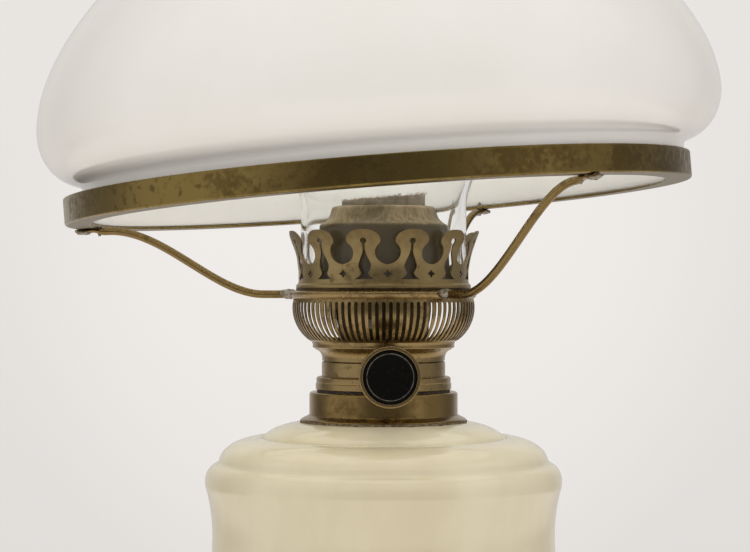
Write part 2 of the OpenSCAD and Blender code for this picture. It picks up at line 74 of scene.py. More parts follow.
# %% Camera
PICTURE_W = 750
FOCAL_PX = 1964
HORIZON_DROP_PX = 13
AXIS_OFFSET_PX = 8.5
CAMERA_DISTANCE = 615
CAMERA_HEIGHT = 185
CAMERA_TURN = math.radians(-2.5)

camera = bpy.data.objects.new("camera", bpy.data.cameras.new("camera"))
bpy.context.scene.collection.objects.link(camera)
bpy.context.scene.camera = camera
camera.data.sensor_width = 36
camera.data.lens = camera.data.sensor_width * FOCAL_PX / PICTURE_W
side_step = AXIS_OFFSET_PX * CAMERA_DISTANCE / FOCAL_PX
camera.location = (
    (CAMERA_DISTANCE * math.sin(CAMERA_TURN) - side_step * math.cos(CAMERA_TURN)) * MM,
    (-CAMERA_DISTANCE * math.cos(CAMERA_TURN) - side_step * math.sin(CAMERA_TURN)) * MM,
    CAMERA_HEIGHT * MM,
)
camera.rotation_euler = (math.pi / 2 + math.atan(HORIZON_DROP_PX / FOCAL_PX), 0, CAMERA_TURN)
camera.data.clip_start = 0.01
bpy.context.scene.view_settings.view_transform = "Standard"
print("lens:", round(camera.data.lens, 1), "mm at", CAMERA_DISTANCE, "mm")

# %% [markdown]
# ## Node trees as expressions
# A finish is mostly arithmetic on masks. One class wraps an output socket, so that
# `1 - mask * 0.4` adds its Math nodes, and one method adds any other node.

# %% Sockets and trees
class Socket:
    """An output of a node tree. Arithmetic with sockets or numbers adds Math nodes."""

    def __init__(self, tree, output):
        self.tree = tree
        self.output = output

    def maths(self, operation, first, second):
        return self.tree.node("Math", {"operation": operation}, {0: first, 1: second})

    def __add__(self, other):
        return self.maths("ADD", self, other)

    def __sub__(self, other):
        return self.maths("SUBTRACT", self, other)

    def __rsub__(self, other):
        return self.maths("SUBTRACT", other, self)

    def __mul__(self, other):
        return self.maths("MULTIPLY", self, other)

    def __or__(self, other):
        return self.maths("MAXIMUM", self, other)

    __radd__ = __add__
    __rmul__ = __mul__


class Tree:
    """A node tree: `node` adds any node, the other methods are the masks that finishes share."""

    def __init__(self, holder):
        holder.use_nodes = True
        self.holder = holder
        self.nodes = holder.node_tree
        self.nodes.nodes.clear()

    def node(self, kind, settings=None, sockets=None, output=0):
        """Adds a node of a kind, applies its settings, then fills or links its sockets."""
        made = self.nodes.nodes.new("ShaderNode" + kind)
        for key, value in (settings or {}).items():
            setattr(made, key, value)
        for key, value in (sockets or {}).items():
            if isinstance(value, Socket):
                self.nodes.links.new(value.output, made.inputs[key])
            else:
                made.inputs[key].default_value = value
        return Socket(self, made.outputs[output]) if made.outputs else None

    def place(self, stretch=(1, 1, 1)):
        """Object coordinates in metres, stretched along each axis."""
        here = self.node("TexCoord", output="Object")
        return self.node("Mapping", None, {"Vector": here, "Scale": stretch})

    def noise(self, size, detail=3, stretch=(1, 1, 1), roughness=0.55):
        """Clouds from 0 to 1 whose patches are about `size` millimetres across."""
        return self.node("TexNoise", None, {
            "Vector": self.place(stretch),
            "Scale": 1 / (size * MM),
            "Detail": detail,
            "Roughness": roughness,
        })

    def step(self, value, start, end):
        """A smooth rise from 0 at start to 1 at end."""
        sockets = {"Value": value, "From Min": start, "From Max": end}
        return self.node("MapRange", {"interpolation_type": "SMOOTHSTEP"}, sockets)

    def tint(self, mask, under, over):
        """A colour that goes from under to over as the mask goes from 0 to 1."""
        return self.node("Mix", {"data_type": "RGBA"}, {0: mask, 6: under, 7: over}, 2)

    def relief(self, height, depth):
        """A normal bent by a height map whose full range is `depth` millimetres."""
        return self.node("Bump", None, {"Height": height, "Distance": depth * MM, "Strength": 1.0})


print("a socket understands:", [name for name in vars(Socket) if name.startswith("__r")])

# %% [markdown]
# ## Studio
# The lamp stands before a pale backdrop that is brighter behind and beside it than on the camera's
# side. A world whose strength falls off towards the front does the same: it gives brass a dark
# front to mirror, while rays that come straight from the camera or through glass meet the plain
# pale colour. A heading is a unit vector, so each limit on it below is the cosine of an angle.
# The opal shade is opaque here, so two small lamps under it stand for the daylight that it lets
# through. They are neither seen nor mirrored.

# %% World, lamps and floor
BACKDROP = (0.835, 0.805, 0.78, 1)
PAPER_LOW = 0.92
PAPER_AROUND = 0.97
PAPER_GLOW = 0.1
FRONT_MIRRORED = 0.21
WINDOWS_MIRRORED = 0.62
CORNERS_MIRRORED = 0.50
CURTAIN_MIRRORED = 0.34
BACK_MIRRORED = 0.40
ROOM_LIGHT = 1.0
FLOOR_R = 740
FLOOR_FADE = 300

scene = bpy.context.scene
scene.world = bpy.data.worlds.new("studio")
air = Tree(scene.world)
heading = air.node("TexCoord", output="Generated")
sideways = air.node("SeparateXYZ", None, {0: heading}, "X")
behind = air.node("SeparateXYZ", None, {0: heading}, "Y")
upward = air.node("SeparateXYZ", None, {0: heading}, "Z")
view = (-math.sin(CAMERA_TURN), math.cos(CAMERA_TURN), 0)
ahead = air.node("VectorMath", {"operation": "DOT_PRODUCT"}, {0: heading, 1: view}, "Value")
paper = PAPER_LOW + (1 - PAPER_LOW) * air.step(upward, -0.2, 0.16)
paper = paper * (PAPER_AROUND + PAPER_GLOW * air.step(ahead, 0.98, 0.998))
windows = WINDOWS_MIRRORED * air.step(behind, -0.97, -0.6)
rear = air.step(behind, 0.0, 0.4)
curtain = CURTAIN_MIRRORED * air.step(sideways, 0.78, 0.97) * (1 - rear)
back = BACK_MIRRORED * air.step(behind, 0.6, 0.92)
mirrored_room = FRONT_MIRRORED + windows - curtain - CORNERS_MIRRORED * rear + back
from_camera = air.node("LightPath", output="Is Camera Ray")
seen = from_camera | air.node("LightPath", output="Is Transmission Ray")
in_mirror = air.node("LightPath", output="Is Glossy Ray") * (1 - seen)
level = seen * paper + in_mirror * mirrored_room + (1 - seen - in_mirror) * ROOM_LIGHT
glow = air.node("Background", None, {"Color": BACKDROP, "Strength": level})
air.node("OutputWorld", None, {"Surface": glow})


def add_lamp(name, kind, place, watts):
    """A lamp at a place. Mirrors and clear glass show the room and not the lamp."""
    lamp = bpy.data.objects.new(name, bpy.data.lights.new(name, kind))
    lamp.data.energy = watts
    lamp.visible_glossy = False
    lamp.visible_transmission = False
    scene.collection.objects.link(lamp)
    lamp.location = np.array(place) * MM
    return lamp


def softbox(name, place, aim, size, watts):
    """A square area lamp at a place, facing another place."""
    lamp = add_lamp(name, "AREA", place, watts)
    lamp.data.size = size * MM
    lamp.rotation_mode = "QUATERNION"
    away = Vector(np.array(place, float) - aim)
    lamp.rotation_quaternion = away.to_track_quat("Z", "Y")
    return lamp


MIDDLE = (0, 0, 230)
softbox("front_fill", (-550, -800, 300), MIDDLE, 700, 0.3)
softbox("low_bounce", (150, -700, 40), MIDDLE, 500, 0.8)
softbox("ceiling", (0, 80, 1200), MIDDLE, 900, 3.6)
through = add_lamp("light_through_shade", "POINT", (0, 0, 285), 0.17)
through.data.shadow_soft_size = 35 * MM
below = softbox("light_under_shade", (0, 0, 186), (0, 0, 0), 120, 0.045)
for lamp in (through, below):
    lamp.visible_camera = False

floor_mesh = bpy.data.meshes.new("floor")
floor_corners = np.array([[-1, -1, 0], [1, -1, 0], [1, 1, 0], [-1, 1, 0]]) * (FLOOR_R * MM)
floor_mesh.from_pydata(floor_corners, [], [[0, 1, 2, 3]])
floor = bpy.data.objects.new("floor", floor_mesh)
scene.collection.objects.link(floor)
ground = Tree(bpy.data.materials.new("floor"))
distance = ground.node("VectorMath", {"operation": "LENGTH"}, {0: ground.place()}, "Value")
shown = 1 - ground.step(distance, (FLOOR_R - FLOOR_FADE) * MM, FLOOR_R * MM)
board = ground.node("BsdfDiffuse", None, {"Color": BACKDROP})
clear = ground.node("BsdfTransparent")
faded = ground.node("MixShader", None, {0: shown, 1: clear, 2: board})
ground.node("OutputMaterial", None, {"Surface": faded})
floor_mesh.materials.append(ground.holder)

# %% [markdown]
# ## Finishes: brass
# The brass of such a burner was lacquered once. Handling has worn it bright on the edges, and where
# nothing touches it, it has gone brown with darker spots. Three masks follow the metal: broad
# clouds, fine spots, and an attribute named edge that each mesh carries, above zero on outer edges
# and below zero in creases. Where that attribute is low the brass is painted darker: partly dirt,
# partly painted shade in creases and under the shade ring's flange.

# %% Brass
def finish(base, roughness, metallic=0.0, normal=None, **constants):
    """Ends a tree in one Principled shader. Keyword words are socket names with _ for spaces."""
    look = base.tree
    sockets = {"Base Color": base, "Roughness": roughness, "Metallic": metallic}
    if normal is not None:
        sockets["Normal"] = normal
    sockets.update({key.replace("_", " "): value for key, value in constants.items()})
    look.node("OutputMaterial", None, {"Surface": look.node("BsdfPrincipled", None, sockets)})
    return look.holder


def new_tree(name):
    """A material of that name with an empty tree."""
    return Tree(bpy.data.materials.new(name))


def brass(name, bright, brown, cover=0.5, shine=0.27, patch=18, drift=(0, 0, 0), spotty=0.38):
    """Aged brass: clouds of brown over bright metal, spots, bright worn edges, creases darkened as dirt
    and as painted shade.
    cover is the share of the surface that has gone brown, drift is how fast that share grows along
    X, Y and Z, per metre, and spotty is about the share of spots."""
    look = new_tree(name)
    edge = look.node("Attribute", {"attribute_name": "edge"}, output="Fac")
    clouds = look.noise(patch, 5)
    fine = look.noise(patch / 9, 4)
    spots = look.step(look.noise(patch / 5, 2), 1 - spotty, 1.12 - spotty)
    worn = look.step(edge + (fine - 0.5) * 0.9, 0.25, 0.9)
    # Dirt and painted shade: darker where the edge attribute is low, in creases and on undersides.
    grime_and_painted_shade = look.step((fine - 0.5) * 0.8 - edge, 0.5, 1.7)
    growth = look.node("VectorMath", {"operation": "DOT_PRODUCT"}, {0: look.place(), 1: drift}, "Value")
    aged = look.step(clouds + growth + (fine - 0.5) * 0.6, 0.74 - 0.5 * cover, 0.98 - 0.5 * cover)
    darkened = (aged * 0.8 | spots * 0.75) * (1 - worn * 0.4) | grime_and_painted_shade * 0.8
    base = look.tint(darkened, bright, brown)
    lines = look.noise(0.9, 2, (0.02, 0.02, 1))
    height = lines * 0.6 + fine * 0.4 - spots * 0.5
    rough = shine + darkened * 0.16 + (fine - 0.5) * 0.12
    return finish(base, rough, 1.0, look.relief(height, 0.004), Specular_IOR_Level=0.4)


collar_brass = brass("brass_collar", (0.265, 0.18, 0.068, 1), (0.118, 0.078, 0.03, 1), 0.5, 0.18, 22)
old_brass = brass("brass_burner", (0.315, 0.225, 0.103, 1), (0.13, 0.09, 0.039, 1), 0.45, 0.26)
ring_brass = brass(
    "brass_ring", (0.25, 0.18, 0.06, 1), (0.115, 0.077, 0.026, 1), 0.65, 0.25, 17, (1.2, 0, 0), 0.43)
crown_brass = brass("brass_crown", (0.33, 0.25, 0.118, 1), (0.14, 0.1, 0.046, 1), 0.5, 0.33)
wire_brass = brass("brass_wire", (0.25, 0.175, 0.07, 1), (0.14, 0.094, 0.036, 1), 0.4, 0.27, 40)
plain_brass = brass("brass_inner", (0.10, 0.07, 0.032, 1), (0.04, 0.028, 0.013, 1), 0.6, 0.4)
print("brasses:", [m.name for m in bpy.data.materials if m.name.startswith("brass")])

# %% [markdown]
# ## Finishes: heat, solder and cotton
# The dome that leads air to the flame has been hot and dusty for years, so it is matt and greyish,
# with faint streaks that run upwards. Below the crown's top it is painted dark, as painted shade.
# Solder is a soft grey metal that set while it flowed.
# The wick is woven cotton, the ring under the collar is plaster, the washer is leather.

# %% Dull metal, solder, wick, plaster, leather
shade_fades_from = high("crown") + 1.0
shade_gone_at = high("crown") + 2.6


def dusty_brass():
    """Brass under dust: grey clouds, upward streaks, little gloss. Dust shows above the crown; below
    its top the metal is painted dark, as painted shade."""
    look = new_tree("brass_dusty_and_shaded")
    streaks = look.noise(1.1, 3, (1, 1, 0.06))
    clouds = look.noise(14, 5)
    dust = look.step(clouds * 0.6 + streaks * 0.4, 0.36, 0.66)
    height = look.node("SeparateXYZ", None, {0: look.place()}, "Z")
    # Painted shade: inside the crown, below its top, the dome is painted dark and no dust shows.
    above = look.step(height + (clouds - 0.5) * MM, shade_fades_from * MM, shade_gone_at * MM)
    base = look.tint((0.2 + dust * 0.8) * above, (0.105, 0.077, 0.034, 1), (0.47, 0.37, 0.21, 1))
    normal = look.relief(streaks + look.noise(0.5) * 0.5, 0.03)
    return finish(base, 0.5 + dust * 0.2, 0.2, normal, Specular_IOR_Level=0.15)


def solder_grey():
    """Tin solder: grey with brown flux in its hollows."""
    look = new_tree("solder")
    clouds = look.noise(1.6, 4)
    base = look.tint(look.step(clouds, 0.35, 0.6), (0.17, 0.14, 0.10, 1), (0.40, 0.36, 0.30, 1))
    return finish(base, 0.32 + clouds * 0.25, 0.9, look.relief(clouds, 0.12))


def cotton():
    """Woven cotton: warp threads up the wick and weft threads round it, from the piece's own UV."""
    look = new_tree("cotton")
    across = look.node("SeparateXYZ", None, {0: look.node("TexCoord", output="UV")}, "X")
    along = look.node("SeparateXYZ", None, {0: look.node("TexCoord", output="UV")}, "Y")
    warp = across.maths("PINGPONG", across * 110, 0.5) * 2
    weft = along.maths("PINGPONG", along * 190, 0.5) * 2
    thread = warp * 0.6 + weft * 0.4
    soot = look.step(look.noise(4, 4), 0.35, 0.7)
    base = look.tint(soot, (0.36, 0.295, 0.20, 1), (0.20, 0.16, 0.105, 1))
    return finish(base, 0.9 - thread * 0.1, 0.0, look.relief(thread, 0.12), Sheen_Weight=0.2)


def grainy(name, light, dark, size, depth, rough):
    """A rough, dry stuff such as plaster or leather: grains of two sizes in two colours."""
    look = new_tree(name)
    grains = look.noise(size, 6)
    base = look.tint(look.step(grains, 0.35, 0.65), dark, light)
    return finish(base, rough + grains * 0.1, 0.0, look.relief(grains, depth))


dull_brass = dusty_brass()
solder = solder_grey()
wick_cotton = cotton()
plaster = grainy("plaster", (0.20, 0.15, 0.085, 1), (0.06, 0.04, 0.02, 1), 1.8, 0.35, 0.8)
leather = grainy("leather", (0.05, 0.035, 0.022, 1), (0.012, 0.009, 0.006, 1), 1.2, 0.1, 0.6)
print("matt finishes:", [m.name for m in (dull_brass, solder, wick_cotton, plaster, leather)])

# %% [markdown]
# ## Finishes: three glasses and a black enamel
# The font is cream glass, cast thick, with faint cloudy streaks. The shade is white opal glass.
# Both are opaque with a sharp gloss, so a plain shader with a little bump for the waves of blown
# glass is enough. The chimney is clear, so it is a closed shell with full transmission.

# %% Glass and enamel
def milk_glass(name, pale, deep, streak, wave, gloss):
    """Opaque glass: soft streaks between two near colours, a sharp gloss, slow waves."""
    look = new_tree(name)
    swirl = look.noise(streak, 4, (1, 1, 0.45), 0.6)
    specks = look.step(look.noise(2.2, 2), 0.78, 0.84)
    base = look.tint(look.step(swirl, 0.3, 0.7) | specks * 0.5, pale, deep)
    normal = look.relief(look.noise(streak * 0.8, 1), wave)
    return finish(base, 0.04 + swirl * 0.05, 0.0, normal, IOR=1.5, Specular_IOR_Level=gloss)


def clear_glass():
    """Thin blown glass with a trace of grey, and a film of dust in its roughness."""
    look = new_tree("clear_glass")
    film = look.step(look.noise(9, 4), 0.45, 0.75)
    base = look.tint(film, (0.985, 0.992, 0.988, 1), (0.955, 0.962, 0.955, 1))
    normal = look.relief(look.noise(16, 1), 0.12)
    return finish(base, film * 0.03, 0.0, normal, IOR=1.3, Transmission_Weight=1.0)


def enamel():
    """Black enamel, polished, with fine dust, grey where the edge attribute is high: worn enamel and a
    painted highlight.
    """
    look = new_tree("black_enamel")
    edge = look.node("Attribute", {"attribute_name": "edge"}, output="Fac")
    grains = look.noise(0.8, 5)
    # The second mask paints the raised ring grey, as worn enamel and as a painted highlight.
    dust = look.step(grains, 0.62, 0.85) * 0.3 | look.step(edge + (grains - 0.5) * 0.9, 0.3, 1.1)
    base = look.tint(dust, (0.003, 0.003, 0.0025, 1), (0.16, 0.145, 0.115, 1))
    normal = look.relief(look.noise(1.5, 3), 0.02)
    return finish(base, 0.2 + dust * 0.3, 0.0, normal, Specular_IOR_Level=0.12)


CREAM = (0.705, 0.645, 0.472, 1)
DEEP_CREAM = (0.627, 0.562, 0.38, 1)
OPAL = (0.82, 0.81, 0.78, 1)
DEEP_OPAL = (0.79, 0.78, 0.735, 1)
cream_glass = milk_glass("cream_glass", CREAM, DEEP_CREAM, 34, 0.5, 1.0)
opal_glass = milk_glass("opal_glass", OPAL, DEEP_OPAL, 60, 0.5, 0.5)
chimney_glass = clear_glass()
black_enamel = enamel()
print("glasses:", cream_glass.name, opal_glass.name, chimney_glass.name)

# %% [markdown]
# ## Turned pieces
# Nearly everything here was spun or blown on a lathe, so one outline turned about the lamp's axis
# makes it. An outline is written as a few corners, each with the radius that rounds it off, and is
# then filled with points so that the edge attribute stays close to its corner.

# %% Outlines
def rounded(corners, steps=6, gap=0.6):
    """A closed outline of corners (radius, height, rounding). An arc tangent to both sides replaces
    each corner and takes less than half of either side, and straight runs get points no further
    apart than gap."""
    corners = np.array(corners, float)
    here, radius = corners[:, :2], corners[:, 2]
    back, on = np.roll(here, 1, 0) - here, np.roll(here, -1, 0) - here
    back_length, on_length = np.hypot(*back.T), np.hypot(*on.T)
    u, v = back / back_length[:, None], on / on_length[:, None]
    half = 0.5 * np.arccos(np.clip((u * v).sum(1), -0.9999, 0.9999))
    room = 0.48 * np.minimum(back_length, on_length)
    reach = np.minimum(np.maximum(radius, 1e-4) / np.tan(half), room)
    middle = u + v
    middle /= np.hypot(*middle.T)[:, None]
    centre = here + middle * (reach / np.cos(half))[:, None]
    sweep = np.pi - 2 * half
    t = np.linspace(0, 1, steps + 1)[None, :, None]
    a, b = (here + u * reach[:, None] - centre)[:, None], (here + v * reach[:, None] - centre)[:, None]
    turn = sweep[:, None, None]
    arcs = centre[:, None] + (np.sin((1 - t) * turn) * a + np.sin(t * turn) * b) / np.sin(turn)
    return dense(arcs.reshape(-1, 2), gap)


def dense(outline, gap):
    """Points added to a closed outline so that neighbours are at most gap apart."""
    run = np.roll(outline, -1, 0) - outline
    count = np.maximum(np.ceil(np.hypot(*run.T) / gap), 1).astype(int)
    first = np.repeat(np.cumsum(count) - count, count)
    share = (np.arange(count.sum()) - first) / np.repeat(count, count)
    return np.repeat(outline, count, 0) + share[:, None] * np.repeat(run, count, 0)


def bend(outline, reach=0.45):
    """Turning of a closed outline near each point, in radians: above zero on outer edges, below
    zero in creases. Each corner's turn is spread over about reach millimetres."""
    run = np.roll(outline, -1, 0) - outline
    length = np.hypot(*run.T)
    heading = np.arctan2(run[:, 1], run[:, 0])
    turn = np.angle(np.exp(1j * (heading - np.roll(heading, 1))))
    at = np.cumsum(length) - length
    apart = np.abs(at[:, None] - at[None, :])
    apart = np.minimum(apart, length.sum() - apart)
    return np.sign(turn.sum()) * (np.exp(-((apart / reach) ** 2)) @ turn)


print("a rounded square has", len(rounded([(0, 0, 1), (9, 0, 1), (9, 9, 1), (0, 9, 1)])), "points")

# %% Skins
def steps_round(sides):
    """Angles of equal steps round an axis."""
    return np.arange(sides) * 2 * np.pi / sides


def turn_about_axis(outline, sides=160):
    """Rows of points: radius times cosine and sine of the angle round the axis, and the height."""
    angle = steps_round(sides)
    radius, height = np.asarray(outline).T
    round_x, round_y = np.outer(radius, np.cos(angle)), np.outer(radius, np.sin(angle))
    return np.stack([round_x, round_y, np.repeat(height[:, None], sides, 1)], -1)


def skin(rows, poles=None):
    """Points and faces of a tube of rows. Without poles the last row joins the first, as on a ring;
    with two poles each end closes in a fan."""
    count, sides = rows.shape[:2]
    i, j = np.meshgrid(np.arange(count - (poles is not None)), np.arange(sides), indexing="ij")
    ahead, beside = (i + 1) % count, (j + 1) % sides
    quads = np.stack([i * sides + j, i * sides + beside, ahead * sides + beside, ahead * sides + j], -1)
    points, faces = rows.reshape(-1, 3), [quads.reshape(-1, 4)]
    if poles is not None:
        total, j = len(points), np.arange(sides)
        last = (count - 1) * sides
        faces.append(np.stack([np.full(sides, total), (j + 1) % sides, j], -1))
        faces.append(np.stack([last + j, last + (j + 1) % sides, np.full(sides, total + 1)], -1))
        points = np.vstack([points, np.asarray(poles, float)])
    return points, faces


def turned(outline, sides=160, dull=0.0):
    """The shell of a closed outline turned about the axis, and the edge attribute of its points. dull is
    taken off that attribute, as one number or one for each point of the outline."""
    return skin(turn_about_axis(outline, sides)), np.repeat(bend(outline) - dull, sides)


def join(*shells):
    """One list of points and one of faces from several closed shells."""
    points, faces, start = [], [], 0
    for shell_points, shell_faces in shells:
        points.append(shell_points)
        faces += [part + start for part in shell_faces]
        start += len(shell_points)
    return np.vstack(points), faces


def volume(points, faces):
    """Enclosed volume: a sixth of the triple products over the triangle fans of all faces."""
    total = 0
    for part in faces:
        corners = points[part]
        for k in range(1, part.shape[1] - 1):
            total += np.einsum("ij,ij->", corners[:, 0], np.cross(corners[:, k], corners[:, k + 1])) / 6
    return total


def add_piece(name, shell, body, look, nodes=(), edge=None, uv=None, sharp=38):
    """Makes a mesh of a closed shell, faces outwards, ties it to its body and hides its nodes."""
    points, faces = shell
    if volume(points, faces) < 0:
        faces = [part[:, ::-1] for part in faces]
    mesh = bpy.data.meshes.new(name)
    mesh.from_pydata(points * MM, [], [face for part in faces for face in part.tolist()])
    mesh.polygons.foreach_set("use_smooth", np.ones(len(mesh.polygons), bool))
    mesh.set_sharp_from_angle(angle=math.radians(sharp))
    if edge is not None:
        marks = mesh.attributes.new("edge", "FLOAT", "POINT")
        marks.data.foreach_set("value", np.ravel(edge).astype(np.float32))
    if uv is not None:
        corner_point = np.zeros(len(mesh.loops), int)
        mesh.loops.foreach_get("vertex_index", corner_point)
        mesh.uv_layers.new(name="UVMap").data.foreach_set("uv", uv[corner_point].ravel())
    mesh.materials.append(look)
    piece = bpy.data.objects.new(name, mesh)
    scene.collection.objects.link(piece)
    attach(piece, body)
    if nodes:
        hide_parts(*nodes)
    print(f"{name}: {len(points)} points, {volume(points, faces) / 1000:.2f} cm3, on {body}")
    return piece


def add_turned(name, outline, body, look, nodes=(), sides=160, place=None, dull=0.0):
    """A closed outline turned about the axis, and then moved by place if that is given."""
    (points, faces), edge = turned(outline, sides, dull)
    if place is not None:
        points = place(points)
    return add_piece(name, (points, faces), body, look, nodes, edge)


print("shell helpers ready")

# %% [markdown]
# ## The glass font
# The font is cast in a mould: a plain foot, a wall that is drawn in at the waist, a small roll, a
# broad shoulder and an inner dome with a flat seat for the collar. A few arcs describe it. Glass
# has no sharp corner anywhere, so the outline is evened out by averaging along its length.

# %% Font
seat_z = high("font_glass")
foot_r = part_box("font_glass")[1].x / MM
SEAT_R = 26.0
COLLAR_BORE = 20.3
FOOT_H = 9.0
FOOT_STEP = 2.4
FOOT_ROUND = 3.0
WAIST_R = 53.4
WAIST_DROP = 35.1
WALL_BEND = 0.009
WALL_RUN = 11.0
ROLL_R = 55.7
ROLL_ROUND = 4.4
ROLL_UP = 5.7
ROLL_DROP = 18.4
SHOULDER_R = 51.4
SHOULDER_DROP = 12.4
SHOULDER_LAP = 1.4
COVE_R = 38.0
COVE_DROP = 6.1
DOME_INSET = 6.0
FONT_WALL = 4.0
FONT_FLOOR = 6.0


def arc(centre, across, up, start, end, count):
    """Points on an ellipse about centre between two angles in degrees."""
    angle = np.radians(np.linspace(start, end, count))
    return np.stack([centre[0] + across * np.cos(angle), centre[1] + up * np.sin(angle)], -1)


def even(outline, gap, reach):
    """An open outline resampled at equal gaps and averaged over reach, with its ends kept."""
    run = np.hypot(*np.diff(outline, axis=0).T)
    at = np.concatenate([[0], np.cumsum(run)])
    spots = np.linspace(0, at[-1], int(at[-1] / gap))
    line = np.stack([np.interp(spots, at, outline[:, k]) for k in range(2)], -1)
    weight = np.exp(-(((spots[:, None] - spots[None, :]) / reach) ** 2))
    soft = weight @ line / weight.sum(1, keepdims=True)
    keep = np.clip(np.minimum(spots, at[-1] - spots) / (2 * reach), 0, 1)[:, None]
    return soft * keep + line * (1 - keep)


def inwards(line, wall):
    """An open line moved by the wall to its left: inwards, for a line that goes upwards."""
    along = np.gradient(line, axis=0)
    along /= np.hypot(*along.T)[:, None]
    return line + wall * np.stack([-along[:, 1], along[:, 0]], -1)


def walled(outer, wall, squash=1.0):
    """A closed outline of an upward line, the same line moved inwards by the wall, and two rims. A rim
    is half an ellipse as wide as the wall and squash times as high as half of it."""
    inner = inwards(outer, wall)
    half = wall / 2
    top = arc((outer[-1] + inner[-1]) / 2, half, squash * half, 0, 180, 9)[1:-1]
    foot = arc((outer[0] + inner[0]) / 2, half, squash * half, 180, 360, 9)[1:-1]
    return np.vstack([outer, top, inner[::-1], foot])


def font_wall_r(z):
    """The waisted wall: its radius grows with the square of the distance from the waist, and below
    the waist that growth slows down to a straight slope."""
    away = np.abs(z - (seat_z - WAIST_DROP))
    return WAIST_R + WALL_BEND * away**2 / np.where(z < seat_z - WAIST_DROP, 1 + away / WALL_RUN, 1)


def font_outlines():
    """Outside from the middle of the foot to the neck, and inside from the neck to the floor."""
    wall_z = np.linspace(FOOT_H + FOOT_STEP + 1, seat_z - ROLL_DROP - 3.2, 60)
    foot_in = font_wall_r(FOOT_H + FOOT_STEP) - FONT_WALL
    shoulder_up = SHOULDER_DROP - COVE_DROP + SHOULDER_LAP
    dome_across = COVE_R - SEAT_R + DOME_INSET
    dome_end = np.degrees(np.arccos(DOME_INSET / dome_across))
    dome_up = COVE_DROP / np.sin(np.radians(dome_end))
    outside = np.vstack([
        [[0, 0], [foot_r - FOOT_ROUND, 0]],
        arc((foot_r - FOOT_ROUND, FOOT_ROUND), FOOT_ROUND, FOOT_ROUND, -80, 0, 10),
        arc((foot_r - FOOT_ROUND, FOOT_H - FOOT_ROUND), FOOT_ROUND, FOOT_ROUND, 0, 75, 10),
        np.stack([font_wall_r(wall_z), wall_z], -1),
        arc((ROLL_R - ROLL_ROUND, seat_z - ROLL_DROP), ROLL_ROUND, ROLL_UP, -25, 85, 20),
        arc((COVE_R, seat_z - SHOULDER_DROP), SHOULDER_R - COVE_R, shoulder_up, 4, 88, 24),
        arc((SEAT_R - DOME_INSET, seat_z - COVE_DROP), dome_across, dome_up, 3, dome_end, 18),
        [[COLLAR_BORE + 0.6, seat_z]],
    ])
    inside = np.array([
        [COLLAR_BORE, seat_z - 0.6],
        [COLLAR_BORE, seat_z - FONT_WALL],
        [SHOULDER_R - FONT_WALL - 2, seat_z - SHOULDER_DROP + 1.5],
        [WAIST_R - FONT_WALL, seat_z - ROLL_DROP - 8],
        [WAIST_R - FONT_WALL, seat_z - WAIST_DROP - 10],
        [foot_in, FOOT_H + FOOT_STEP + FONT_WALL],
        [foot_in - 5, FONT_FLOOR],
        [0, FONT_FLOOR],
    ])
    return even(outside, 0.7, 0.55), even(inside, 2.5, 2.0)


font_line = np.vstack(font_outlines())
font_rows = turn_about_axis(font_line[1:-1], 200)
font_poles = [[0, 0, font_line[0, 1]], [0, 0, font_line[-1, 1]]]
font_shell = skin(font_rows, font_poles)
add_piece("font_glass_body", font_shell, "font", cream_glass, ["font_glass"], sharp=70)

# %% [markdown]
# ## Collar, plaster and washer
# The screw collar is set on the glass with plaster. Some of it was squeezed out and broke away
# unevenly, which shows as a ragged dark line under the collar. Its radius follows a sum of waves
# round the axis, so the edge is uneven in the mesh and not only in the finish.

# %% Collar
collar_top = high("font_collar")
ledge_z = low("burner_body")
COLLAR_R = 23.2
COLLAR_FOOT_R = 25.75
COLLAR_T = 0.8
PLASTER_LIP = 0.5
PLASTER_SIDES = 300
SQUEEZED_FROM = 24.6
SQUEEZED_SHARE = 0.0143
RAGGED_SHARE = 0.0195
PLASTER_SAG = 0.42

collar_outline = rounded([
    (COLLAR_BORE, seat_z + 1.1, 0.1),
    (COLLAR_BORE, collar_top, 0.25),
    (COLLAR_R, collar_top, 0.9),
    (COLLAR_R, seat_z + 2.2, 0.5),
    (COLLAR_FOOT_R, seat_z + PLASTER_LIP + 0.45, 0.3),
    (COLLAR_FOOT_R, seat_z + PLASTER_LIP, 0.1),
    (COLLAR_R - COLLAR_T, seat_z + 2.1, 0.2),
    (COLLAR_R - COLLAR_T, collar_top - COLLAR_T, 0.2),
    (COLLAR_BORE + COLLAR_T, collar_top - COLLAR_T, 0.2),
    (COLLAR_BORE + COLLAR_T, seat_z + 1.1, 0.1),
])
add_turned("collar", collar_outline, "font", collar_brass, ["font_collar"], 180)


def waves(angle, counts, seed):
    """A sum of sines round the axis, one for each count of waves, between about -1 and 1."""
    draw = np.random.default_rng(seed)
    phase = draw.uniform(0, 2 * np.pi, len(counts))
    return np.sin(np.multiply.outer(angle, counts) + phase).sum(-1) / len(counts) ** 0.5 / 1.4


plaster_outline = rounded([
    (COLLAR_BORE + COLLAR_T + 0.05, seat_z + 0.02, 0.1),
    (COLLAR_FOOT_R, seat_z + 0.02, 0.1),
    (COLLAR_FOOT_R - 0.1, seat_z + PLASTER_LIP, 0.15),
    (COLLAR_R - COLLAR_T - 0.05, seat_z + 1.8, 0.2),
    (COLLAR_R - COLLAR_T - 0.05, collar_top - COLLAR_T - 0.05, 0.2),
    (COLLAR_BORE + COLLAR_T + 0.05, collar_top - COLLAR_T - 0.05, 0.2),
], gap=0.3)
plaster_rows = turn_about_axis(plaster_outline, PLASTER_SIDES)
ragged = waves(steps_round(PLASTER_SIDES), np.array([3, 7, 12, 19, 31, 44, 60]), 4)
spread = np.clip(plaster_outline[:, 0] - SQUEEZED_FROM, 0, 1)[:, None]
squeezed = 1 + spread * (SQUEEZED_SHARE + RAGGED_SHARE * ragged[None, :])
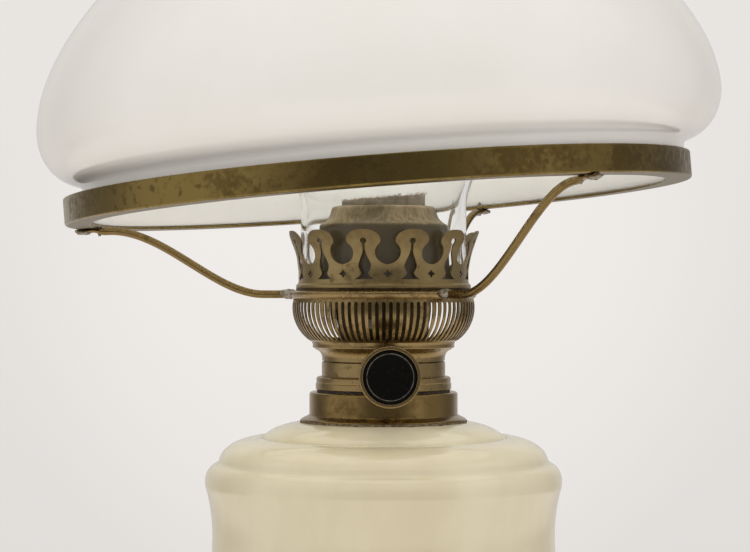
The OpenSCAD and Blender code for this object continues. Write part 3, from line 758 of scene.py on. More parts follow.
plaster_rows[..., :2] *= squeezed[..., None]
beyond = np.clip(np.hypot(plaster_rows[..., 0], plaster_rows[..., 1]) - SEAT_R, 0, None)
plaster_rows[..., 2] -= PLASTER_SAG * beyond
add_piece("collar_plaster", skin(plaster_rows), "font", plaster, ["collar_cement"])

# %% [markdown]
# ## Burner body
# Two steps of spun brass with a groove between them, a short body, and the spigot that the basket
# slides over. The spindle passes through it at the front, hidden by its nut, so the mesh needs no
# hole there: the bush fills it.

# %% Burner body
spigot_top = high("burner_body")
LEDGE_R = 21.2
LEDGE_H = 4.0
BODY_R = 19.3
BODY_IN = 18.6
BODY_H = 4.7
SPIGOT_R = 18.4
step_z = ledge_z + LEDGE_H + BODY_H

body_outline = rounded([
    (BODY_IN, ledge_z, 0.1),
    (LEDGE_R, ledge_z, 0.3),
    (LEDGE_R, ledge_z + 1.9, 0.3),
    (LEDGE_R - 0.3, ledge_z + 2.1, 0.15),
    (LEDGE_R - 0.2, ledge_z + 2.4, 0.25),
    (LEDGE_R - 0.2, ledge_z + LEDGE_H, 0.9),
    (BODY_R, ledge_z + LEDGE_H, 0.25),
    (BODY_R, step_z, 0.45),
    (SPIGOT_R, step_z, 0.1),
    (SPIGOT_R, spigot_top, 0.2),
    (SPIGOT_R - 0.7, spigot_top, 0.2),
    (SPIGOT_R - 0.7, step_z - 0.4, 0.2),
    (BODY_IN, step_z - 1, 0.2),
], gap=0.5)
add_turned("burner_shell", body_outline, "burner", old_brass, ["burner_body"], 180)

# %% [markdown]
# ## The slotted basket
# Air enters through a bowl with many upright slots. Cutting 84 slots with Booleans would be slow,
# so one cell of the bowl is laid out as rings of points between a round-ended slot and the cell's
# border. The cell is then bent to the bowl's arc and repeated round the axis.

# %% Basket
skirt_z = low("basket")
rim_z = low("carrier_ring")
BASKET_SLOTS = 84
SLOT_HALF = 0.55
SLOT_TURN = 0.417
NECK_H = 3.8
BEAD_R = 22.2
BEAD_H = 2.2
BASKET_R = 28.5
BASKET_ARC = 12.5
BASKET_SWEEP = 1.3
BELLY_DROP = 3.0
SHEET = 0.7
bowl_z = skirt_z + NECK_H + BEAD_H


def weld(points, faces, grain=1e-4):
    """Merges points that fall on the same spot of a grid."""
    _, keep, where = np.unique(np.round(points / grain), axis=0, return_index=True, return_inverse=True)
    where = where.ravel()
    return points[keep], [where[part] for part in faces]


def bowl(turn, along, depth):
    """A point of the bowl: turn in cells round the axis, along from 0 at the bead to 1 at the rim on
    an arc of BASKET_ARC, depth inwards from the outside of the sheet."""
    centre_r, centre_z = BASKET_R - BASKET_ARC, rim_z - BELLY_DROP
    start = math.asin((bowl_z - centre_z) / BASKET_ARC)
    end = math.asin((rim_z - centre_z) / BASKET_ARC)
    angle = start + (end - start) * along
    radius = centre_r + (BASKET_ARC - depth) * np.cos(angle)
    height = centre_z + (BASKET_ARC - depth) * np.sin(angle)
    around = (turn + SLOT_TURN) * 2 * np.pi / BASKET_SLOTS
    return np.stack([radius * np.cos(around), radius * np.sin(around), height + 0 * around], -1)


def slot_cell(low_end=0.045, high_end=0.93, side_points=10, end_points=7):
    """Slot border and cell border as matching loops of (turn, along). The slot keeps one width in
    millimetres, so it takes more of the cell where the bowl is narrow."""
    outside = np.linalg.norm(bowl(0.0, np.linspace(0, 1, 50), 0.0)[:, :2], axis=1)
    cap = SLOT_HALF / (BASKET_ARC * BASKET_SWEEP)
    climb = np.linspace(low_end + cap, high_end - cap, side_points)
    lean = np.radians(np.linspace(0, 180, end_points + 2)[1:-1])
    upright = np.ones(side_points)
    side = np.concatenate([upright, np.cos(lean), -upright, -np.cos(lean)])
    top, bottom = high_end - cap + cap * np.sin(lean), low_end + cap - cap * np.sin(lean)
    along = np.concatenate([climb, top, climb[::-1], bottom])
    cell_mm = 2 * np.pi * np.interp(along, np.linspace(0, 1, 50), outside) / BASKET_SLOTS
    hole = np.stack([side * SLOT_HALF / cell_mm, along], -1)
    border_along = np.concatenate([
        np.linspace(0, 1, side_points),
        np.ones(end_points),
        np.linspace(1, 0, side_points),
        np.zeros(end_points),
    ])
    across = np.linspace(0.5, -0.5, end_points + 2)[1:-1]
    border_turn = np.concatenate([0.5 * upright, across, -0.5 * upright, -across])
    return hole, np.stack([border_turn, border_along], -1)


def slotted_wall():
    """All cells of the bowl: outer and inner face, the walls of the slots, and the two rims."""
    hole, border = slot_cell()
    loops = np.stack([hole, 0.5 * (hole + border), border])
    turn = loops[None, ..., 0] + np.arange(BASKET_SLOTS)[:, None, None]
    along = loops[None, ..., 1]
    points = np.stack([bowl(turn, along, depth) for depth in (0.0, SHEET / 2)], 1)
    index = np.arange(points[..., 0].size).reshape(points.shape[:-1])
    ring = np.roll(index, -1, -1)
    outer = np.stack([index[:, 0, :-1], ring[:, 0, :-1], ring[:, 0, 1:], index[:, 0, 1:]], -1)
    inner = np.stack([index[:, 1, 1:], ring[:, 1, 1:], ring[:, 1, :-1], index[:, 1, :-1]], -1)
    wall = np.stack([ring[:, 0, 0], index[:, 0, 0], index[:, 1, 0], ring[:, 1, 0]], -1)
    ends = (border[:, 1] == np.roll(border[:, 1], -1)) & np.isin(border[:, 1], (0, 1))
    rims = np.stack([index[:, 0, 2], ring[:, 0, 2], ring[:, 1, 2], index[:, 1, 2]], -1)[:, ends]
    faces = [part.reshape(-1, 4) for part in (outer, inner, wall, rims)]
    print("basket cells:", BASKET_SLOTS, "points in a loop:", loops.shape[1])
    return weld(points.reshape(-1, 3), faces)


SKIRT_IN = 18.5
neck = arc((SKIRT_IN + SHEET + 2.2, skirt_z + 0.6), 2.2, NECK_H - 1, 180, 100, 14)
skirt_outline = np.vstack([
    [[SKIRT_IN, skirt_z], [SKIRT_IN + SHEET, skirt_z]],
    neck,
    arc((BEAD_R - 0.5, bowl_z - BEAD_H + 0.6), 0.5, 0.45, -90, 0, 6),
    [[BEAD_R - 0.08, bowl_z - BEAD_H / 2]],
    arc((BEAD_R - 0.4, bowl_z + 0.1), 0.65, 0.6, -30, 60, 8),
    [[BEAD_R - 1.0, bowl_z + 0.8], [SKIRT_IN + 1.2, bowl_z - 0.3], [SKIRT_IN, bowl_z - BEAD_H - 0.4]],
])
skirt_shell, skirt_edge = turned(dense(skirt_outline, 0.5), 180)
wall_shell = slotted_wall()
# The skirt's edge attribute goes no lower than -0.6, so its crease gets less painted shade.
basket_edge = np.concatenate([np.zeros(len(wall_shell[0])), np.maximum(skirt_edge, -0.6)])
basket_shell = join(wall_shell, skirt_shell)
add_piece("basket_shell", basket_shell, "gallery", old_brass, ["basket"], basket_edge)

# %% Rim and plate
plate_z = high("carrier_ring")
RIM_R = 29.2
CROWN_R = 26.6

rim_outline = rounded([
    (BASKET_R - 2.2, rim_z - 0.2, 0.2),
    (BASKET_R - 0.3, rim_z - 0.2, 0.3),
    (RIM_R - 0.4, rim_z + 0.35, 0.3),
    (RIM_R, rim_z + 1.2, 0.5),
    (RIM_R - 0.15, plate_z - 0.35, 0.4),
    (CROWN_R + 1.4, plate_z, 0.3),
    (BASKET_R - 2.2, plate_z, 0.2),
], gap=0.4)
add_turned("basket_rim", rim_outline, "gallery", old_brass, ["carrier_ring"], 200, dull=0.7)

# %% [markdown]
# ## The pierced crown
# A band of thin brass holds the chimney with twelve springy prongs. Its pattern is drawn flat, as
# it was punched: an open oval between two prongs, a diamond below it and a bell-shaped opening in
# each prong. A triangulation fills the drawing, and the sheet is then bent to the flare.

# %% Crown drawing
crown_z = low("crown")
CROWN_H = high("crown") - crown_z
CROWN_FLARE = 3.5
CROWN_PRONGS = 12
CROWN_BAND = 5.0
CROWN_T = 0.5
CROWN_HEAT = 1.5
SHEET_FROM = 1.0
CELL = 2 * np.pi * CROWN_R / CROWN_PRONGS
OVAL_Z = 10.8
OVAL_ACROSS = 3.75
OVAL_UP = 3.5
DIAMOND_Z = 4.4


def curve(knots, steps=6):
    """A spline: cubics through the knots, each knot's slope along the chord of its neighbours."""
    knots = np.asarray(knots, float)
    ends = np.vstack([2 * knots[0] - knots[1], knots, 2 * knots[-1] - knots[-2]])
    a, b, c, d = ends[:-3], ends[1:-2], ends[2:-1], ends[3:]
    t = (np.arange(steps) / steps)[:, None, None]
    square, cube = 2 * a - 5 * b + 4 * c - d, 3 * b - a - 3 * c + d
    spans = 0.5 * (2 * b + (c - a) * t + square * t**2 + cube * t**3)
    return np.vstack([spans.transpose(1, 0, 2).reshape(-1, 2), knots[-1:]])


def mirrored(half):
    """A half outline followed by its mirror image about the middle of the prong."""
    return np.vstack([half, half[::-1] * [-1, 1]])


def prong_outline():
    """Right half, upwards: cell border, half diamond, oval, ear and cap; then its mirror image."""
    edge = CELL / 2
    diamond = curve([(edge, DIAMOND_Z - 1.25), (edge - 0.6, DIAMOND_Z - 0.5), (edge - 1.5, DIAMOND_Z)], 3)
    diamond = np.vstack([diamond, diamond[-2::-1] * [1, -1] + [0, 2 * DIAMOND_Z]])
    oval = arc((edge, OVAL_Z), OVAL_ACROSS, OVAL_UP, 270, 130, 20)
    cap = [(4.85, 14.2), (4.7, 15.3), (3.9, 16.5), (2.1, CROWN_H - 0.25), (0, CROWN_H)]
    ear = curve([oval[-1], *cap], 5)[1:]
    lower = [[0, SHEET_FROM], [edge / 2, SHEET_FROM], [edge, SHEET_FROM]]
    return mirrored(np.vstack([lower, diamond, oval, ear]))


def bell_outline():
    """The bell: a wide mouth, a pinched waist, a bulge that runs out in a slit, and a round eye."""
    mouth = [(3.0, 2.8), (1.8, 3.6), (1.1, 4.6)]
    bulge = [(1.7, 5.8), (1.95, 7.0), (1.3, 8.8), (0.6, 10.4), (0.36, 11.6)]
    flank = curve(mouth + bulge)
    eye = arc((0, 14.3), 0.9, 0.9, -66, 90, 9)
    return mirrored(np.vstack([[[1.4, 2.75]], flank, [[0.36, 12.6]], eye]))


def unique_loop(loop):
    """A closed loop without points that repeat their neighbour."""
    return loop[np.linalg.norm(loop - np.roll(loop, 1, 0), axis=1) > 1e-6]


def inside(points, loop):
    """Even-odd test: whether a ray to the right of a point crosses the loop an odd number of times."""
    x, y = points[:, 0, None], points[:, 1, None]
    a, b = loop, np.roll(loop, -1, 0)
    crosses = (a[:, 1] > y) != (b[:, 1] > y)
    rise = np.where(b[:, 1] == a[:, 1], 1, b[:, 1] - a[:, 1])
    at = a[:, 0] + (y - a[:, 1]) * (b[:, 0] - a[:, 0]) / rise
    return (crosses & (x < at)).sum(1) % 2 == 1


def prong_triangles(spacing=0.85):
    """Triangles of one prong: its loops and a grid of inner points, joined so that the
    smallest angles are as large as the loops allow."""
    loops = [unique_loop(prong_outline()), unique_loop(bell_outline())]
    columns = np.arange(-CELL / 2, CELL / 2, spacing)
    across, up = np.meshgrid(columns, np.arange(SHEET_FROM + 0.4, CROWN_H, spacing))
    grid = np.stack([across.ravel(), up.ravel()], -1)
    border = np.vstack(loops)
    clear = np.linalg.norm(grid[:, None] - border[None], axis=2).min(1) > 0.45 * spacing
    points = np.vstack([border, grid[inside(grid, loops[0]) & ~inside(grid, loops[1]) & clear]])
    links, start = [], 0
    for loop in loops:
        index = np.arange(start, start + len(loop))
        links.append(np.stack([index, np.roll(index, -1)], -1))
        start += len(loop)
    made = delaunay_2d_cdt(points.tolist(), np.vstack(links).tolist(), [], 0, 1e-6)
    flat, triangles = np.array(made[0]), np.array(made[2])
    middle = flat[triangles].mean(1)
    return flat, triangles[inside(middle, loops[0]) & ~inside(middle, loops[1])]


flat_prong, prong_faces = prong_triangles()
print("one prong:", len(flat_prong), "points", len(prong_faces), "triangles")

# %% Crown
def flared(x, height, depth, turn):
    """A point of the flared sheet: x along the band becomes an angle, the radius grows with the
    height above the band to the power 1.5, depth goes inwards."""
    rise = np.clip((height - CROWN_BAND) / (CROWN_H - CROWN_BAND), 0, None)
    radius = CROWN_R + CROWN_FLARE * rise**1.5 - depth
    angle = x / CROWN_R + turn
    return np.stack([radius * np.cos(angle), radius * np.sin(angle), crown_z + height], -1)


def open_edges(triangles):
    """Edges that belong to one triangle only, in that triangle's direction."""
    pairs = np.vstack([triangles[:, [0, 1]], triangles[:, [1, 2]], triangles[:, [2, 0]]])
    _, where, count = np.unique(np.sort(pairs, 1), axis=0, return_inverse=True, return_counts=True)
    return pairs[count[where.ravel()] == 1]


def crown_sheet():
    """Twelve prongs: outer and inner face, welded at the cell borders, then the cut edges."""
    turns = (np.arange(CROWN_PRONGS) + 0.5)[:, None] * 2 * np.pi / CROWN_PRONGS - np.pi / 2
    x, height = flat_prong[None, :, 0], np.repeat(flat_prong[None, :, 1], CROWN_PRONGS, 0)
    outer = flared(x, height, 0.0, turns).reshape(-1, 3)
    inner = flared(x, height, CROWN_T, turns).reshape(-1, 3)
    start = np.arange(CROWN_PRONGS)[:, None, None] * len(flat_prong)
    triangles = (prong_faces[None] + start).reshape(-1, 3)
    _, keep, where = np.unique(np.round(outer, 3), axis=0, return_index=True, return_inverse=True)
    triangles, total = where.ravel()[triangles], len(keep)
    edges = open_edges(triangles)
    rims = np.stack([edges[:, 1], edges[:, 0], edges[:, 0] + total, edges[:, 1] + total], -1)
    return np.vstack([outer[keep], inner[keep]]), [triangles, triangles[:, ::-1] + total, rims]


crown_foot = rounded([
    (CROWN_R - CROWN_T, crown_z, 0.1),
    (CROWN_R + 0.75, crown_z, 0.35),
    (CROWN_R + 0.75, crown_z + 1.05, 0.5),
    (CROWN_R + 0.12, crown_z + 1.5, 0.15),
    (CROWN_R + 0.12, crown_z + 1.9, 0.1),
    (CROWN_R - CROWN_T - 0.02, crown_z + 1.9, 0.1),
], gap=0.4)
foot_shell, foot_edge = turned(crown_foot, 200)
sheet_shell = crown_sheet()
heat = CROWN_HEAT * (sheet_shell[0][:, 2] - crown_z) / CROWN_H
crown_shell = join(sheet_shell, foot_shell)
crown_edge = np.concatenate([-heat, foot_edge])
add_piece("crown_sheet", crown_shell, "gallery", crown_brass, ["crown"], crown_edge)

# %% [markdown]
# ## Flame guide and wick
# Inside the chimney a dome draws the air over the wick. It is spun from one sheet: a nearly upright
# wall, a hollow shoulder and a straight neck. The wick stands out of it by a few millimetres, and
# its cut edge is frayed: short threads stand up from it, bent a little at random.

# %% Flame guide
guide_top = high("flame_guide")
GUIDE_R = 21.0
GUIDE_T = 0.5
GUIDE_HOLE = 14.5

guide_wall = [
    (GUIDE_R, crown_z + 0.6),
    (GUIDE_R - 0.5, crown_z + 10.2),
    (GUIDE_R - 1.0, guide_top - 6.0),
]
guide_cove = curve([
    (GUIDE_R - 1.15, guide_top - 5.75),
    (GUIDE_R - 2.2, guide_top - 5.2),
    (GUIDE_R - 3.6, guide_top - 3.9),
    (GUIDE_R - 4.4, guide_top - 2.1),
    (GUIDE_R - 4.7, guide_top - 0.9),
    (GUIDE_R - 5.2, guide_top - 0.25),
    (GUIDE_HOLE, guide_top),
])
guide_soft = even(np.vstack([guide_wall, guide_cove]), 0.35, 0.25)
guide_outline = np.vstack([guide_soft, inwards(guide_soft, GUIDE_T)[::-1]])
guide_flange = rounded([
    (GUIDE_R - 0.8, crown_z, 0.1),
    (GUIDE_R + 0.4, crown_z, 0.2),
    (GUIDE_R + 0.4, crown_z + 0.8, 0.3),
    (GUIDE_R - 0.8, crown_z + 0.8, 0.1),
])
dome_shell, dome_edge = turned(guide_outline, 180)
flange_shell, flange_edge = turned(guide_flange, 180)
guide_shell = join(dome_shell, flange_shell)
guide_edge = np.concatenate([dome_edge, flange_edge])
add_piece("flame_dome", guide_shell, "gallery", dull_brass, ["flame_guide"], guide_edge)

# %% Wick
wick_top = high("wick")
wick_foot = low("wick")
WICK_R = 13.0
WICK_IN = 11.7
WICK_GAP = 67.5
WICK_SLANT = 0.95
SLANT_DEPTH = 5.0
GAP_RISE = 25.0
SLEEVE_SIDES = 120
SLEEVE_RINGS = 24
THREADS = 260
gap_top = spigot_top + GAP_RISE


def wick_shell():
    """Two shells: the whole ring above the air duct and the split sleeve below it."""
    angle = steps_round(160)
    lift = WICK_SLANT * np.cos(angle) + 0.25 * waves(angle, np.array([9, 17, 29, 41]), 8)
    section = rounded([
        (WICK_IN, gap_top, 0.2),
        (WICK_R, gap_top, 0.2),
        (WICK_R, wick_top, 0.5),
        (WICK_IN, wick_top, 0.5),
    ])
    ring = turn_about_axis(section, len(angle))
    ring[..., 2] += np.clip((ring[..., 2] - wick_top) / SLANT_DEPTH + 1, 0, 1) * lift[None]
    strip_angle = np.radians(np.linspace(90 + WICK_GAP / 2, 450 - WICK_GAP / 2, SLEEVE_SIDES))
    loop = np.concatenate([strip_angle, strip_angle[::-1]])
    radius = np.repeat([WICK_R, WICK_IN], SLEEVE_SIDES)
    rows = np.empty((SLEEVE_RINGS, len(loop), 3))
    rows[..., 0] = radius * np.cos(loop)
    rows[..., 1] = radius * np.sin(loop)
    rows[..., 2] = np.linspace(wick_foot, gap_top + 0.1, SLEEVE_RINGS)[:, None]
    strip_points, strip_faces = skin(rows, [[0, 0, 0], [0, 0, 0]])
    a = np.arange(SLEEVE_SIDES - 1)
    b = len(loop) - 1 - a
    cap = np.stack([a, b, b - 1, a + 1], -1)
    strip_faces = [strip_faces[0], cap[:, ::-1], cap + (SLEEVE_RINGS - 1) * len(loop)]
    return skin(ring), (strip_points[:-2], strip_faces)


def threads(count, seed):
    """Frayed threads: thin spikes of four sides and four rings, each leaning and curling a little.
    Those on the right are longer and lean outwards."""
    draw = np.random.default_rng(seed)
    angle = draw.uniform(0, 2 * np.pi, count)
    radius = draw.uniform(WICK_IN + 0.1, WICK_R + 0.05, count)
    right = 0.5 + 0.5 * np.cos(angle)
    length = draw.uniform(0.4, 0.9, count) + 0.5 * right
    lean = draw.normal(0, 0.45, (count, 2)) + 0.9 * right[:, None] ** 3 * [1, 0]
    t = np.linspace(0, 1, 4)[None, :]
    foot_z = wick_top - 1.0 + WICK_SLANT * np.cos(angle)
    foot = np.stack([radius * np.cos(angle), radius * np.sin(angle), foot_z], -1)
    bow = np.stack([lean[:, :1] * t**2, lean[:, 1:] * t**2, t * np.ones((count, 1))], -1)
    bow *= length[:, None, None]
    bow[..., 2] += 0.7 * t
    spine = foot[:, None] + bow
    thick = 0.11 * (1 - 0.75 * t)
    corner = np.arange(4) * np.pi / 2
    ring = np.stack([np.cos(corner), np.sin(corner), np.zeros(4)], -1)
    points = spine[:, :, None] + thick[..., None, None] * ring
    index = np.arange(count * 16).reshape(count, 4, 4)
    beside = np.roll(index, -1, 2)
    sides = np.stack([index[:, :-1], beside[:, :-1], beside[:, 1:], index[:, 1:]], -1)
    ends = np.concatenate([index[:, 0, ::-1], index[:, -1]])
    return points.reshape(-1, 3), [sides.reshape(-1, 4), ends]


wick_whole = join(*wick_shell(), threads(THREADS, 11))
wick_points = wick_whole[0]
turn = (np.arctan2(wick_points[:, 1], wick_points[:, 0]) / (2 * np.pi)) % 1
wick_uv = np.stack([turn, (wick_points[:, 2] - wick_foot) / (wick_top - wick_foot)], -1)
add_piece("wick_sleeve", wick_whole, "wick", wick_cotton, ["wick"], uv=wick_uv)

# %% [markdown]
# ## Arms and solder
# Three bent wires carry the shade ring. Each leaves the rim level, rises in an S and ends in a
# hammered foot under the flange. The wire was rolled, which leaves two fine seams along it.
# A section is carried along the path; its radius dips at the seams. Solder beads hold both ends.

# %% Arms
RING_LEAN = math.radians(4.4)
RING_TIP = math.radians(0.8)
RING_X = -1.6
RING_RISE = 27.0
RING_R = 97.3
RING_H = 8.1
RING_T = 0.8
FLANGE_W = 8.0
ARM_R = 1.25
ARM_INSET = 0.4
RISE_FROM = 0.13
RISE_TO = 0.87
ARM_FOOT_LAP = 1.5
ARM_FOOT_RUN = 4.0
ARM_FOOT_THINNED = 0.45
ARM_FOOT_WIDENED = 0.5
SEAM_TURN = 0.35
SEAM_WIDTH = 0.16
SEAM_DEPTH = 0.1
SEAM_DULL = 0.7
SOLDERED_AT = (0.012, 0.975, 0.90)
ARM_ANGLES = {"arm_left": 170, "arm_right": 306, "arm_rear": 64}
ring_z = plate_z + RING_RISE


def smooth(t):
    """A rise from 0 to 1 that starts and ends level."""
    t = np.clip(t, 0, 1)
    return t * t * (3 - 2 * t)


def on_ring(points):
    """From the level frame of the ring to its leaning place: a turn about X that lifts the front, a
    turn about Y that lowers the left, then a shift."""
    x, y, z = points.T
    cos, sin = math.cos(RING_TIP), math.sin(RING_TIP)
    y, z = y * cos + z * sin, z * cos - y * sin
    cos, sin = math.cos(RING_LEAN), math.sin(RING_LEAN)
    return np.stack([RING_X + x * cos - z * sin, y, ring_z + x * sin + z * cos], -1)


def flattened(radius):
    """How far the wire has been hammered flat: 0 on the way, 1 under the flange."""
    return smooth((radius - (RING_R - FLANGE_W - ARM_FOOT_LAP)) / ARM_FOOT_RUN)


def arm_path(angle, share):
    """Centre of the wire from the rim (share 0) to under the flange (share 1): straight in plan,
    with a smooth rise from RISE_FROM to RISE_TO, up to the underside of the flange."""
    start = np.array([RIM_R * math.cos(angle), RIM_R * math.sin(angle), (rim_z + plate_z) / 2])
    tip_r = RING_R - ARM_INSET
    end = on_ring(np.array([[tip_r * math.cos(angle), tip_r * math.sin(angle), 0]]))[0]
    path = start + (end - start) * share[:, None]
    radius = np.hypot(path[:, 0] - RING_X, path[:, 1])
    half = ARM_R * (1 - ARM_FOOT_THINNED * flattened(radius)) + 0.02
    plane = ring_z + (path[:, 0] - RING_X) * math.tan(RING_LEAN) - path[:, 1] * math.tan(RING_TIP)
    under = plane - half / math.cos(RING_LEAN)
    path[:, 2] = start[2] + (under - start[2]) * smooth((share - RISE_FROM) / (RISE_TO - RISE_FROM))
    return path, radius


def seam(turn, at):
    """A groove along the wire: 1 at an angle of the section, falling off like a bell curve."""
    return np.exp(-((np.angle(np.exp(1j * (turn - at))) / SEAM_WIDTH) ** 2))


def arm_shell(angle, rings=110, sides=28):
    """A round section carried along the path, flattened at the foot, with the seams as grooves, and
    its edge attribute, which is low in the seams."""
    path, radius = arm_path(angle, np.linspace(0, 1, rings))
    along = np.gradient(path, axis=0)
    along /= np.linalg.norm(along, axis=1)[:, None]
    across = np.array([-along[0, 1], along[0, 0], 0])
    across /= np.linalg.norm(across)
    up = np.cross(along, across)
    turn = (np.arange(sides) + 0.5) * 2 * np.pi / sides
    seams = seam(turn, SEAM_TURN) + seam(turn, np.pi - SEAM_TURN)
    dip = 1 - SEAM_DEPTH * seams
    flat = flattened(radius)[:, None]
    wide = ARM_R * (1 + ARM_FOOT_WIDENED * flat) * dip * np.cos(turn)
    tall = ARM_R * (1 - ARM_FOOT_THINNED * flat) * dip * np.sin(turn)
    rows = path[:, None] + wide[..., None] * across + tall[..., None] * up[:, None]
    edge = np.repeat(-SEAM_DULL * seams[None], rings, 0)
    return skin(rows, [path[0], path[-1]]), np.concatenate([edge.ravel(), [0, 0]])


def blob(centre, axes, seed, sides=28):
    """A lump of solder: a sphere stretched along three axes, its radius varied by slow waves."""
    draw = np.random.default_rng(seed)
    tilt = np.linspace(0, np.pi, 16)[1:-1, None]
    turn = steps_round(sides)[None]
    phase = draw.uniform(0, 6.28, 4)
    swell = 1 + 0.1 * np.sin(2 * turn + 3 * tilt + phase[0])
    swell += 0.07 * np.sin(5 * turn - 2 * tilt + phase[1])
    swell += 0.05 * np.sin(7 * turn + 6 * tilt + phase[2])
    across, up = np.sin(tilt), np.cos(tilt) + 0 * turn
    ball = np.stack([across * np.cos(turn), across * np.sin(turn), up], -1)
    rows = ball * swell[..., None] @ axes + centre
    ends = np.array([[0, 0, 1], [0, 0, -1]]) @ axes + centre
    return skin(rows, ends)


def arm_axes(angle, along, across, up):
    """Three half lengths of a lump: outwards from the lamp, sideways and upwards."""
    out = np.array([math.cos(angle), math.sin(angle), 0])
    return np.stack([out * along, np.array([-out[1], out[0], 0]) * across, np.array([0, 0, up])])


for number, (node, degrees) in enumerate(ARM_ANGLES.items()):
    angle = math.radians(degrees)
    shell, edge = arm_shell(angle)
    add_piece(node + "_wire", shell, "gallery", wire_brass, [node], edge)
    near, far, inner = arm_path(angle, np.array(SOLDERED_AT))[0]
    lumps = [
        blob(near + [0, 0, 0.1], arm_axes(angle, 2.9, 2.2, 1.5), number),
        blob(far + [0, 0, -0.1], arm_axes(angle, 2.9, 1.9, 0.95), number + 5),
        blob(inner + [0, 0, 0.9], arm_axes(angle, 0.8, 0.9, 2.3), number + 9),
    ]
    add_piece(node + "_solder", join(*lumps), "gallery", solder)

# %% [markdown]
# ## Shade ring and shade
# The ring is a strip bent round with a flange turned in at the bottom, and the shade stands on that
# flange. On this lamp both lean a little to the left, so the pieces are turned level and then laid
# into the leaning frame of the ring.

# %% Ring
UNDERSIDE_PAINTED_SHADE = 2.0
ring_outline = rounded([
    (RING_R - FLANGE_W, 0, 0.25),
    (RING_R, 0, 0.75),
    (RING_R, RING_H, 0.3),
    (RING_R - RING_T, RING_H, 0.3),
    (RING_R - RING_T, RING_T, 0.3),
    (RING_R - FLANGE_W, RING_T, 0.25),
], gap=0.5)
# Painted shade: the flange's flat underside is painted darker through the edge attribute.
underside = (ring_outline[:, 1] < 0.3) & (ring_outline[:, 0] < RING_R - 0.6)
add_turned(
    "ring_band", ring_outline, "gallery", ring_brass, ["shade_ring"], 400, on_ring,
    UNDERSIDE_PAINTED_SHADE * underside)

# %% Shade
LIP_R = 93.3
LIP_H = 11.4
SHADE_R = 106.1
SHADE_ROLL_H = 15.0
SHADE_DOME_H = 78.0
SHADE_TOP_R = 35.0
SHADE_TOP_H = 9.0
SHADE_RIM = 0.9
SHADE_WALL = 2.3
SHADE_SHIFT = 2.3
SHADE_LIFT = 0.85
DOME_POWER = 1.85


def shade_outline():
    """Neck, elliptical roll and dome, where the radius falls with the height to the power DOME_POWER,
    then the same line moved inwards by the wall."""
    rise = np.linspace(0, 1, 120)[1:]
    roll_h = LIP_H + SHADE_ROLL_H
    dome_r = SHADE_R - (SHADE_R - SHADE_TOP_R) * rise**DOME_POWER
    outer = np.vstack([
        [[LIP_R, SHADE_RIM], [LIP_R, LIP_H]],
        arc((LIP_R, roll_h), SHADE_R - LIP_R, SHADE_ROLL_H, -84, 0, 40),
        np.stack([dome_r, roll_h + SHADE_DOME_H * rise], -1),
        [[SHADE_TOP_R, roll_h + SHADE_DOME_H + SHADE_TOP_H - SHADE_RIM]],
    ])
    return walled(even(outer, 1.4, 2.2), SHADE_WALL, 0.8)


def on_flange(points):
    """The shade stands a little off the middle of its ring."""
    return on_ring(points + [SHADE_SHIFT, 0, SHADE_LIFT])


add_turned("shade_glass", shade_outline(), "shade", opal_glass, ["shade"], 320, on_flange)

# %% [markdown]
# ## Chimney
# Clear glass shows whatever is behind it twice bent, once at each face of its wall. So the wall has
# to have its real thickness, and its rims are melted round. It casts no shadow, because light passes
# through it.

# %% Chimney
chimney_z = low("chimney")
CHIMNEY_H = high("chimney") - chimney_z
CHIMNEY_R = 25.9
FLARE_H = 25.0
BULGE_R = 33.0
BULGE_H = 50.0
TAPER_H = 100.0
FLUE_R = 19.0
CHIMNEY_WALL = 1.6


def chimney_outline():
    """A straight foot, smooth steps out to the bulge and in to the flue, and a straight tube."""
    height = np.linspace(CHIMNEY_WALL / 2, CHIMNEY_H - CHIMNEY_WALL / 2, 240)
    out = (BULGE_R - CHIMNEY_R) * smooth((height - FLARE_H) / (BULGE_H - FLARE_H))
    back = (FLUE_R - BULGE_R) * smooth((height - BULGE_H) / (TAPER_H - BULGE_H))
    outer = np.stack([CHIMNEY_R + out + back, height], -1)
    return walled(outer, CHIMNEY_WALL) + [0, chimney_z]


tube = add_turned(
    "chimney_tube", chimney_outline(), "chimney", chimney_glass, ["chimney"], 200)
tube.visible_shadow = False

# %% [markdown]
# ## The knob
# A brass cup with a knurled wall holds a black face with one raised ring. Its middle is plain. The
# knob turns about the spindle, so its outline is turned about that axis instead.

# %% Knob
KNOB_R = 9.2
KNOB_D = 5.4
KNOB_REACH = 42.0
KNOB_LIP = 1.2
FACE_DEPTH = 3.6
FACE_DISH = 0.75
FACE_RING = 0.865
BOSS_T = 2.2
BOSS_D = 2.6
KNURLS = 72
KNURL_SHARE = 0.011
KNURL_FADE = 0.4
SPINDLE_R = 1.5
SPINDLE_RISE = 5.5
spindle_z = ledge_z + SPINDLE_RISE


def on_spindle(points):
    """From an axis along Z to the spindle: the height becomes the distance to the front."""
    x, y, z = points.T
    return np.stack([x, -z, spindle_z + y], -1)


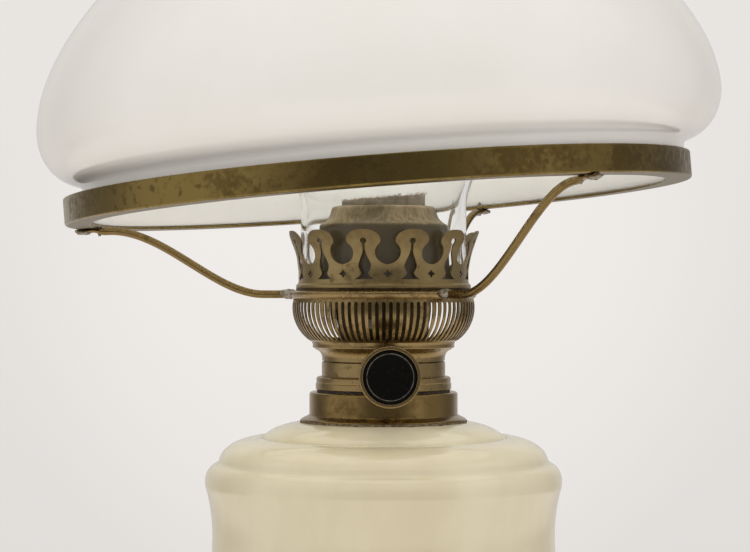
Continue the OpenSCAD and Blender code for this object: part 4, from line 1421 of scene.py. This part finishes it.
knob_back = KNOB_REACH - KNOB_D
cup_outline = rounded([
    (SPINDLE_R + 0.02, knob_back - BOSS_D, 0.1),
    (SPINDLE_R + BOSS_T, knob_back - BOSS_D, 0.4),
    (SPINDLE_R + BOSS_T + 0.2, knob_back, 0.4),
    (KNOB_R - 0.1, knob_back, 1.1),
    (KNOB_R - 0.1, KNOB_REACH, 0.35),
    (KNOB_R - KNOB_LIP, KNOB_REACH, 0.2),
    (KNOB_R - KNOB_LIP, KNOB_REACH - FACE_DEPTH, 0.1),
    (SPINDLE_R + 0.02, KNOB_REACH - FACE_DEPTH, 0.1),
], gap=0.4)
CUP_SIDES = KNURLS * 4
cup_rows = turn_about_axis(cup_outline, CUP_SIDES)
cup_r, cup_depth = cup_outline.T
on_wall = np.clip((cup_r - KNOB_R + 0.4) / 0.3, 0, 1)
on_wall *= np.clip((cup_depth - knob_back - 0.9) / KNURL_FADE, 0, 1)
on_wall *= np.clip((KNOB_REACH - 0.7 - cup_depth) / KNURL_FADE, 0, 1)
ridge = 1 + KNURL_SHARE * on_wall[:, None] * np.cos(KNURLS * steps_round(CUP_SIDES))
cup_rows[..., :2] *= ridge[..., None]
cup_points, cup_faces = skin(cup_rows)
cup_shell = on_spindle(cup_points), cup_faces
cup_edge = np.repeat(bend(cup_outline), CUP_SIDES)
add_piece("knob_rim", cup_shell, "knob", old_brass, ["knob_cup"], cup_edge)

FACE_R = KNOB_R - KNOB_LIP - 0.05
FACE_BACK = KNOB_REACH - FACE_DEPTH + 0.05
face_line = even(np.array([
    (0.05, FACE_BACK),
    (FACE_R, FACE_BACK),
    (FACE_R, KNOB_REACH - FACE_DISH),
    (FACE_R - 0.25, KNOB_REACH - 0.5),
    (FACE_R * (FACE_RING + 0.05), KNOB_REACH - 0.5),
    (FACE_R * (FACE_RING + 0.02), KNOB_REACH - 0.1),
    (FACE_R * (FACE_RING - 0.02), KNOB_REACH - 0.1),
    (FACE_R * (FACE_RING - 0.05), KNOB_REACH - 0.55),
    (FACE_R * 0.5, KNOB_REACH - 0.7),
    (0.05, KNOB_REACH - FACE_DISH),
]), 0.07, 0.1)
face_rows = turn_about_axis(face_line, 160)
face_poles = [[0, 0, FACE_BACK], [0, 0, KNOB_REACH - FACE_DISH]]
face_points, face_faces = skin(face_rows, face_poles)
# Worn enamel and a painted highlight: the raised ring of the face is painted grey.
from_ring = (np.hypot(face_points[:, 0], face_points[:, 1]) - FACE_R * FACE_RING) / 0.22
ring_wear_and_highlight = 0.75 * np.exp(-(from_ring**2)) * (face_points[:, 2] > KNOB_REACH - 1)
face_shell = on_spindle(face_points), face_faces
add_piece("knob_front", face_shell, "knob", black_enamel, ["knob_face"], ring_wear_and_highlight)

# %% [markdown]
# ## What stays as it is
# Tubes, gears, the washer and the screw skirt have the right shape already. They only get a finish.

# %% Finishes of the remaining solids
WICK_GUIDES = ["outer_wick_tube", "inner_wick_tube", "air_duct", "wick_carrier", "wick_rack"]
KEPT = dict.fromkeys(WICK_GUIDES + ["burner_base", "gallery_plate"], plain_brass)
KEPT.update(dict.fromkeys(["spindle_bush", "gland_nut", "wick_spindle", "pinion"], old_brass))
KEPT["collar_washer"] = leather
for node, look in KEPT.items():
    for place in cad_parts[node].material_slots:
        place.material = look
print("solids kept:", len(KEPT))

# %% [markdown]
# ## Sizes
# The dressed lamp has to keep the size of the solids.
